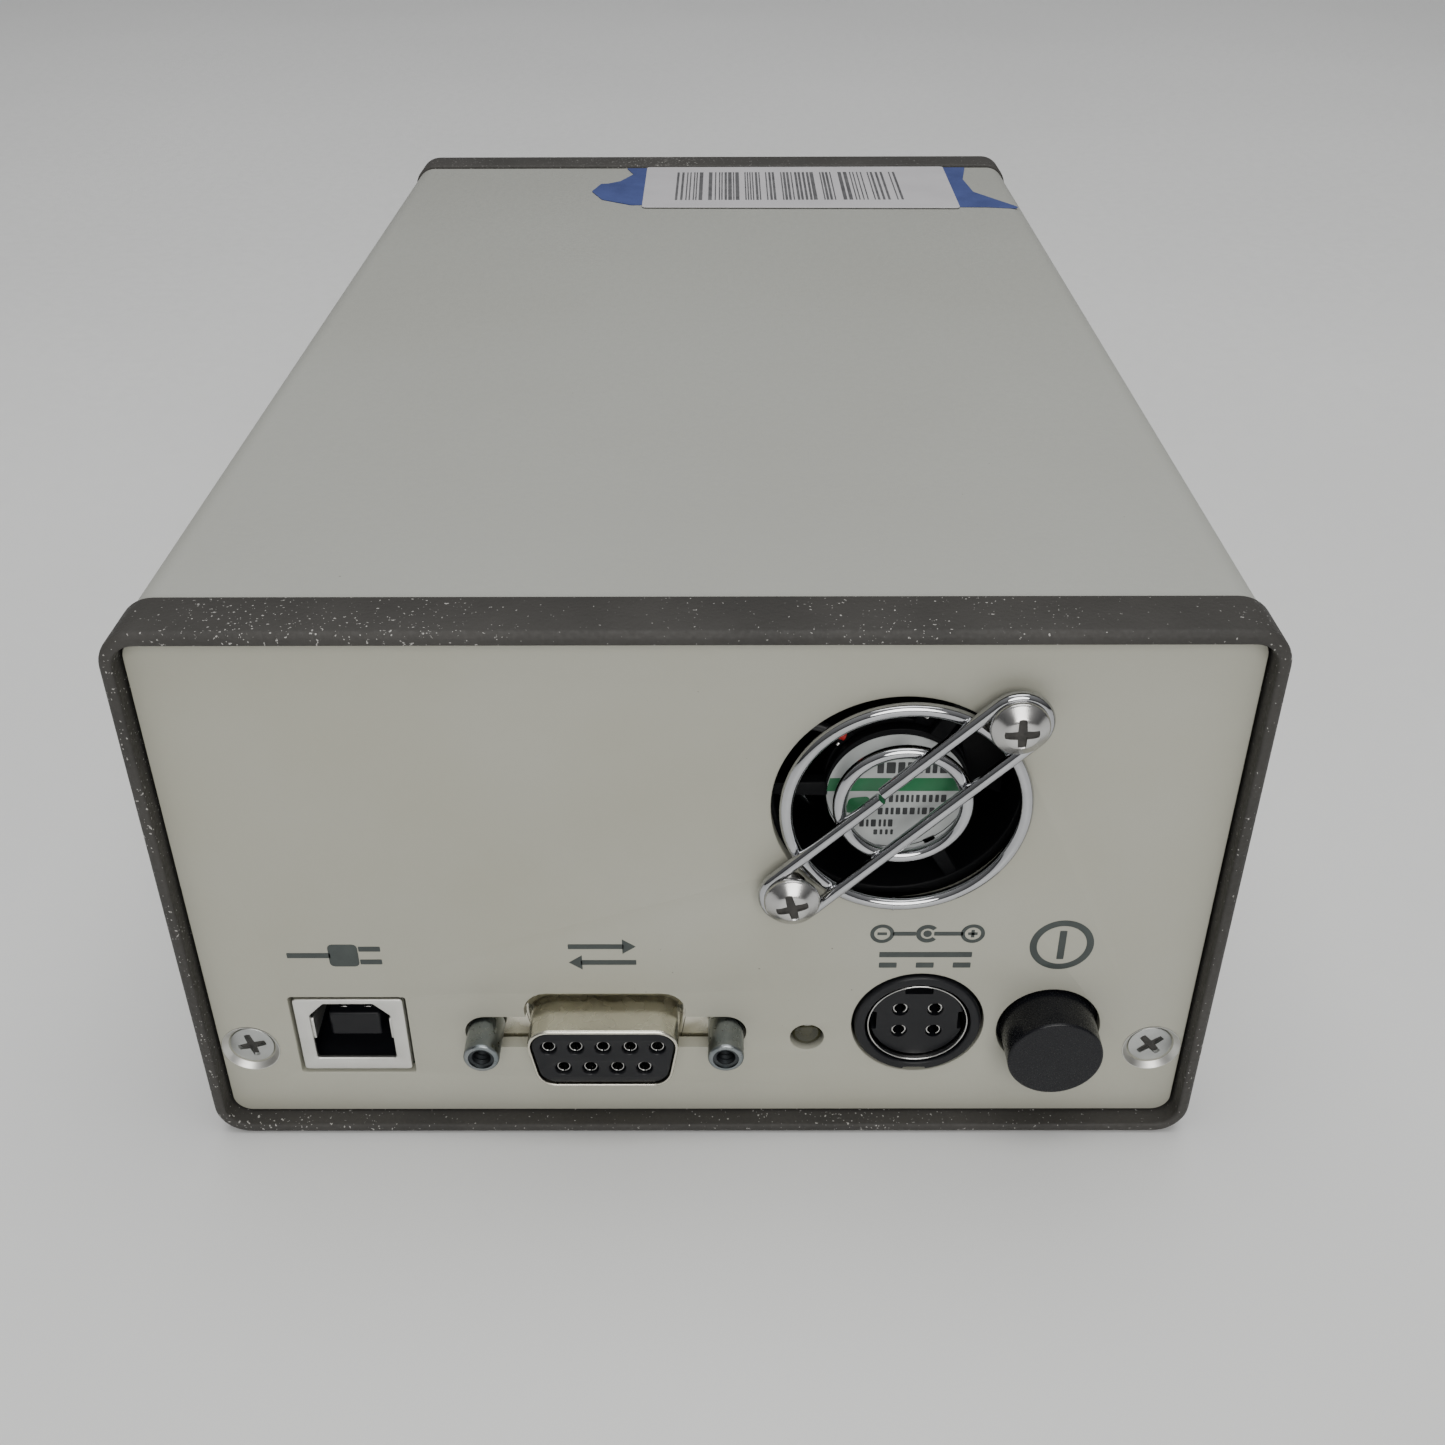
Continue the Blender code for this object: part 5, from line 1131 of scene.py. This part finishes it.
tagShape = {
    "left": -10.8, "right": 40.4, "near": 138.0, "far": 164.3, "thick": 0.12, "above": 0.16,
    "bars": (142.2, 160.5), "margin": (5.2, 2.5), "groups": (7, 8, 6, 3, 9, 4, 6, 4, 2), "groupGap": 0.75,
    "barWidths": (0.22, 0.22, 0.4, 0.62), "barGaps": (0.2, 0.32, 0.45), "seed": 5,
    "tape_left": ((-19.6, 148.6, 1.0), (-17.6, 143.4, 1.2), (-12.6, 140.0, 0.6), (-8.0, 140.2), (-8.0, 164.2),
                  (-14.6, 164.2, 0.3), (-13.2, 160.0, 0.4), (-15.2, 155.2, 0.8), (-17.2, 153.6, 0.5),
                  (-18.4, 153.4, 0.4)),
    "tape_right": ((38.0, 138.4), (45.0, 138.2, 0.5), (50.4, 137.2, 0.6), (47.4, 142.0, 1.0), (43.9, 147.6, 0.8),
                   (43.2, 156.0, 0.7), (44.6, 164.2, 0.3), (38.0, 164.2)),
}


def makeTag():
    shape = tagShape
    cover = span("top_cover")[1].z
    seat = cover + shape["above"]
    face = seat + shape["thick"]
    left, right = shape["left"], shape["right"]
    paper = filleted([(left, shape["near"], 0.8), (right, shape["near"] - 0.8, 0.8),
                      (right + 0.3, shape["far"], 0.5), (left - 0.2, shape["far"], 0.5)])
    addPiece("tag_paper", slab([paper], seat, face, 0.02, "z"), "tagPaper")
    dice = random.Random(shape["seed"])
    near, far = shape["bars"]
    bars = []
    across = left + shape["margin"][0]
    for count in shape["groups"]:
        for _ in range(count):
            wide = dice.choice(shape["barWidths"])
            if across + wide < right - shape["margin"][1]:
                bar = roundedBox(across + wide / 2, (near + far) / 2, wide, far - near, 0.04, 1)
                bars.append(slab([bar], face - 0.02, face + 0.02, 0.003, "z"))
            across += wide + dice.choice(shape["barGaps"])
        across += shape["groupGap"]
    addPiece("tag_bars", together(*bars), "tagInk")
    for name in ("tape_left", "tape_right"):
        mesh = slab([filleted(shape[name], steps=4)], cover + 0.02, cover + 0.15, 0.03, "z")
        addPiece(name, mesh, "maskingTape")


mountShape = {"radius": 28.0, "thread": 21.2, "threadDeep": 0.25, "threadPitch": 0.75, "sink": 22.6,
              "sinkDeep": 0.6, "screwSink": 2.3, "screwHead": (2.0, 1.6), "slot": (5.0, 0.6)}


def makeMount():
    shape = mountShape
    radius, thread, sink, sinkHole = shape["radius"], shape["thread"], shape["sink"], shape["screwSink"]
    low, high = span("mount_ring")
    middle = centreOf("mount_ring")
    teeth = []
    along = low.y + 0.3
    while along < high.y - 1.5:
        teeth += [(thread, along), (thread + shape["threadDeep"], along + 0.3)]
        along += shape["threadPitch"]
    ledge = high.y - shape["sinkDeep"]
    profile = filleted([(sink, high.y, 0.1), (radius, high.y, 0.6), (radius, low.y, 0.2), (thread, low.y)],
                       looped=False, steps=6)
    ring = turned(profile + teeth + [(thread, ledge), (sink, ledge)], middle.x, middle.z, 144, looped=True)
    nodes = [f"ring_screw_{number}" for number in (1, 2, 3)]
    tools = []
    for spot in map(centreOf, nodes):
        tools.append(slab([circle(spot.x, spot.z, sinkHole, 40)], high.y - 2.3, high.y + 1, 0))
        tools.append(slab([circle(spot.x, spot.z, 1.5, 32)], low.y - 1, high.y - 2.2, 0))
    addPiece("adapter_ring", carved(ring, *tools), "black_anodised", ["mount_ring"])
    wide, tall = shape["screwHead"]
    for number, node in enumerate(nodes, 1):
        low, high = span(node)
        spot = centreOf(node)
        head = filleted([(0, low.y), (1.2, low.y, 0.3), (1.2, high.y - tall), (wide, high.y - tall, 0.1),
                         (wide, high.y, 0.25), (0, high.y)], looped=False, steps=5)
        groove = slab([roundedBox(spot.x, spot.z, *shape["slot"], 0.05, 2)], high.y - 0.8, high.y + 1, 0)
        body = carved(turned(head, spot.x, spot.z, 56), spun(groove, spot.x, spot.z, 37 * number))
        addPiece(f"adapter_{node}", body, "screw_metal", [node])


noseShape = {"radius": 15.875, "bore": 13.9, "shoulder": 21.85, "shoulderEnd": 180.3, "undercut": 0.6,
             "undercutAt": (7, 13), "neck": 20.9, "threadDeep": 4.5, "threadPitch": 0.6, "grooveDeep": 0.22,
             "ribs": 84, "ribHeight": 0.12}


def makeNosepiece():
    shape = noseShape
    radius, bore, shoulder, neck = shape["radius"], shape["bore"], shape["shoulder"], shape["neck"]
    low, high = span("nosepiece")
    spot = centreOf("nosepiece")
    start, flange = span("mount_ring")[1].y - 0.3, shape["shoulderEnd"]
    near, far = [flange + away for away in shape["undercutAt"]]
    waist = radius - shape["undercut"]
    outside = filleted([
        (bore + 0.55, high.y, 0.15), (radius, high.y, 0.4), (radius, far), (waist, far - 0.6, 0.3),
        (waist, near + 0.6, 0.3), (radius, near), (radius, flange, 0.2), (shoulder, flange, 0.4),
        (shoulder, flange - 0.6), (shoulder, start + 0.7), (shoulder, start, 0.3), (neck, start),
        (neck, low.y, 0.3), (bore, low.y, 0.3),
    ], looped=False, steps=5)
    inside = []
    threadStart = high.y - shape["threadDeep"]
    along = low.y + 1.0  # fine grooves against stray light, then the filter thread
    while along < threadStart - 1:
        inside += [(bore, along), (bore + shape["grooveDeep"], along + 0.5)]
        along += 1.0
    along = threadStart
    while along < high.y - 0.7:
        inside += [(bore + 0.2, along), (bore + 0.5, along + shape["threadPitch"] / 2)]
        along += shape["threadPitch"]

    def knurl(along, turn):
        onRim = start + 0.65 < along < flange - 0.55
        return shape["ribHeight"] * math.cos(turn * shape["ribs"]) if onRim else 0

    mesh = turned(outside + inside, spot.x, spot.z, shape["ribs"] * 6, looped=True, ripple=knurl)
    addPiece("focuser_nosepiece", mesh, "black_anodised", ["nosepiece"])


def makeFrontPanel():
    low, high = span("front_panel")
    holes = [("nosepiece", noseShape["bore"] + 0.6, 96)]
    holes += [(f"ring_screw_{number}", 1.5, 24) for number in (1, 2, 3)] + [("desiccant_plug", 5.4, 48)]
    loops = [panelOutline("front_panel")]
    loops += [circle(centreOf(node).x, centreOf(node).z, radius, steps) for node, radius, steps in holes]
    plate = carved(slab(loops, low.y, high.y, panelShape["edge"]), *screwSeats("front", high.y, 1))
    addPiece("telescope_end_panel", plate, "panel_paint", ["front_panel"])


plugShape = {"head": 6.88, "headTall": 1.4, "thread": 5.0, "threadDeep": 0.3, "bore": 3.8, "ribs": 48,
             "ribHeight": 0.1, "coin": (9.0, 1.4)}


def makePlug():
    shape = plugShape
    head, thread, bore = shape["head"], shape["thread"], shape["bore"]
    low, high = span("desiccant_plug")
    spot = centreOf("desiccant_plug")
    seat, root = high.y - shape["headTall"], thread - shape["threadDeep"]
    profile = [(0, seat), (bore, seat), (bore, low.y), (root, low.y)]
    along = low.y + 0.3
    while along < seat - 0.7:
        profile += [(thread, along), (root, along + 0.4)]
        along += 0.8
    profile += filleted([(thread, seat), (head, seat, 0.2), (head, high.y, 0.4), (0, high.y)],
                        looped=False, steps=5)

    def ribs(along, turn):
        onHead = seat + 0.25 < along < high.y - 0.35
        return shape["ribHeight"] * math.cos(turn * shape["ribs"]) if onHead else 0

    body = turned(profile, spot.x, spot.z, shape["ribs"] * 6, ripple=ribs)
    coin = slab([roundedBox(spot.x, spot.z, *shape["coin"], 0.5)], high.y - 0.7, high.y + 1, 0)
    addPiece("desiccant_cap", carved(body, coin), "black_anodised", ["desiccant_plug"])


stages = {
    "box": (makeCover, makeBezels, makeRearPanel, makeEndScrews),
    "connectors, lamp and button": (makeSquarePort, makeDConnector, makeJackScrews, makePowerSocket, makeLamp,
                                    makeButton, makeButtonSpring),
    "fan and guard": (makeFan, makeLeads, makeFanLabel, makeGuard, makeGuardScrews),
    "marks, tag and tape": (makeMarks, makeTag),
    "telescope end": (makeFrontPanel, makeMount, makeNosepiece, makePlug),
}
for stage, makers in stages.items():
    for make in makers:
        make()
    print(stage, "made")


studio = {
    "floorSize": 6.0,
    "floor": dict(colour=(0.76, 0.765, 0.765), tint=(0.79, 0.795, 0.795), rough=(0.4, 0.55), cloud=160,
                  grain=3, depth=0.01),
    "sky": 0.42, "below": (0.22, 0.22, 0.22), "level": (0.12, 0.12, 0.125), "above": (1.0, 1.0, 1.0),
    "lamps": {  # place, what it points at, size, power and colour
        "overheadSoft": ((0.05, -0.02, 1.2), (0.0, -0.05, 0.0), 1.2, 9.8, (1.0, 1.0, 0.99)),
        "frontSoft": ((0.1, -1.15, 0.62), (0.0, 0.0, 0.02), 0.8, 8.6, (1.0, 0.99, 0.96)),
    },
}


def makeStudio():
    grid = bmesh.new()
    bmesh.ops.create_grid(grid, x_segments=1, y_segments=1, size=studio["floorSize"] / 2)
    floor = bpy.data.objects.new("floor", meshFrom(grid))
    floor.data.materials.append(makeFinish("floorPaint", studio["floor"]))
    bpy.context.scene.collection.objects.link(floor)

    world = bpy.data.worlds.new("studio")
    bpy.context.scene.world = world
    world.use_nodes = True
    tree = world.node_tree
    coordinates = tree.nodes.new("ShaderNodeTexCoord")
    split = tree.nodes.new("ShaderNodeSeparateXYZ")
    ramp = tree.nodes.new("ShaderNodeValToRGB")
    tree.links.new(coordinates.outputs["Generated"], split.inputs["Vector"])
    tree.links.new(ranged(tree, split.outputs["Z"], -1, 1, 0, 1), ramp.inputs["Fac"])
    stops = ramp.color_ramp.elements
    stops[0].color = (*studio["below"], 1)
    stops[1].color = (*studio["above"], 1)
    stops.new(0.5).color = (*studio["level"], 1)
    background = tree.nodes["Background"]
    tree.links.new(ramp.outputs["Color"], background.inputs["Color"])
    background.inputs["Strength"].default_value = studio["sky"]

    for name, (place, target, size, power, colour) in studio["lamps"].items():
        lamp = bpy.data.lights.new(name, "AREA")
        lamp.shape = "DISK"
        lamp.size = size
        lamp.energy = power
        lamp.color = colour
        holder = bpy.data.objects.new(name, lamp)
        holder.location = place
        holder.rotation_mode = "QUATERNION"
        holder.rotation_quaternion = (Vector(target) - Vector(place)).to_track_quat("-Z", "Y")
        bpy.context.scene.collection.objects.link(holder)


view = {"lens": 38.16, "pitch": 33.18, "yaw": -0.2, "roll": -0.195, "place": (0.00281, -0.21362, 0.12736)}


def makeCamera():
    pitch, yaw, roll = (math.radians(view[key]) for key in ("pitch", "yaw", "roll"))
    ahead = Vector((math.sin(yaw) * math.cos(pitch), math.cos(yaw) * math.cos(pitch), -math.sin(pitch)))
    right = Vector((math.cos(yaw), -math.sin(yaw), 0))
    up = right.cross(ahead)
    columns = Matrix((right * math.cos(roll) + up * math.sin(roll), up * math.cos(roll) - right * math.sin(roll),
                      -ahead)).transposed()
    lens = bpy.data.cameras.new("camera")
    lens.lens = view["lens"]
    lens.sensor_width = 36
    lens.clip_start = 0.01
    camera = bpy.data.objects.new("camera", lens)
    camera.matrix_world = Matrix.Translation(view["place"]) @ columns.to_4x4()
    bpy.context.scene.collection.objects.link(camera)
    bpy.context.scene.camera = camera


makeStudio()
makeCamera()
print("studio and camera made")
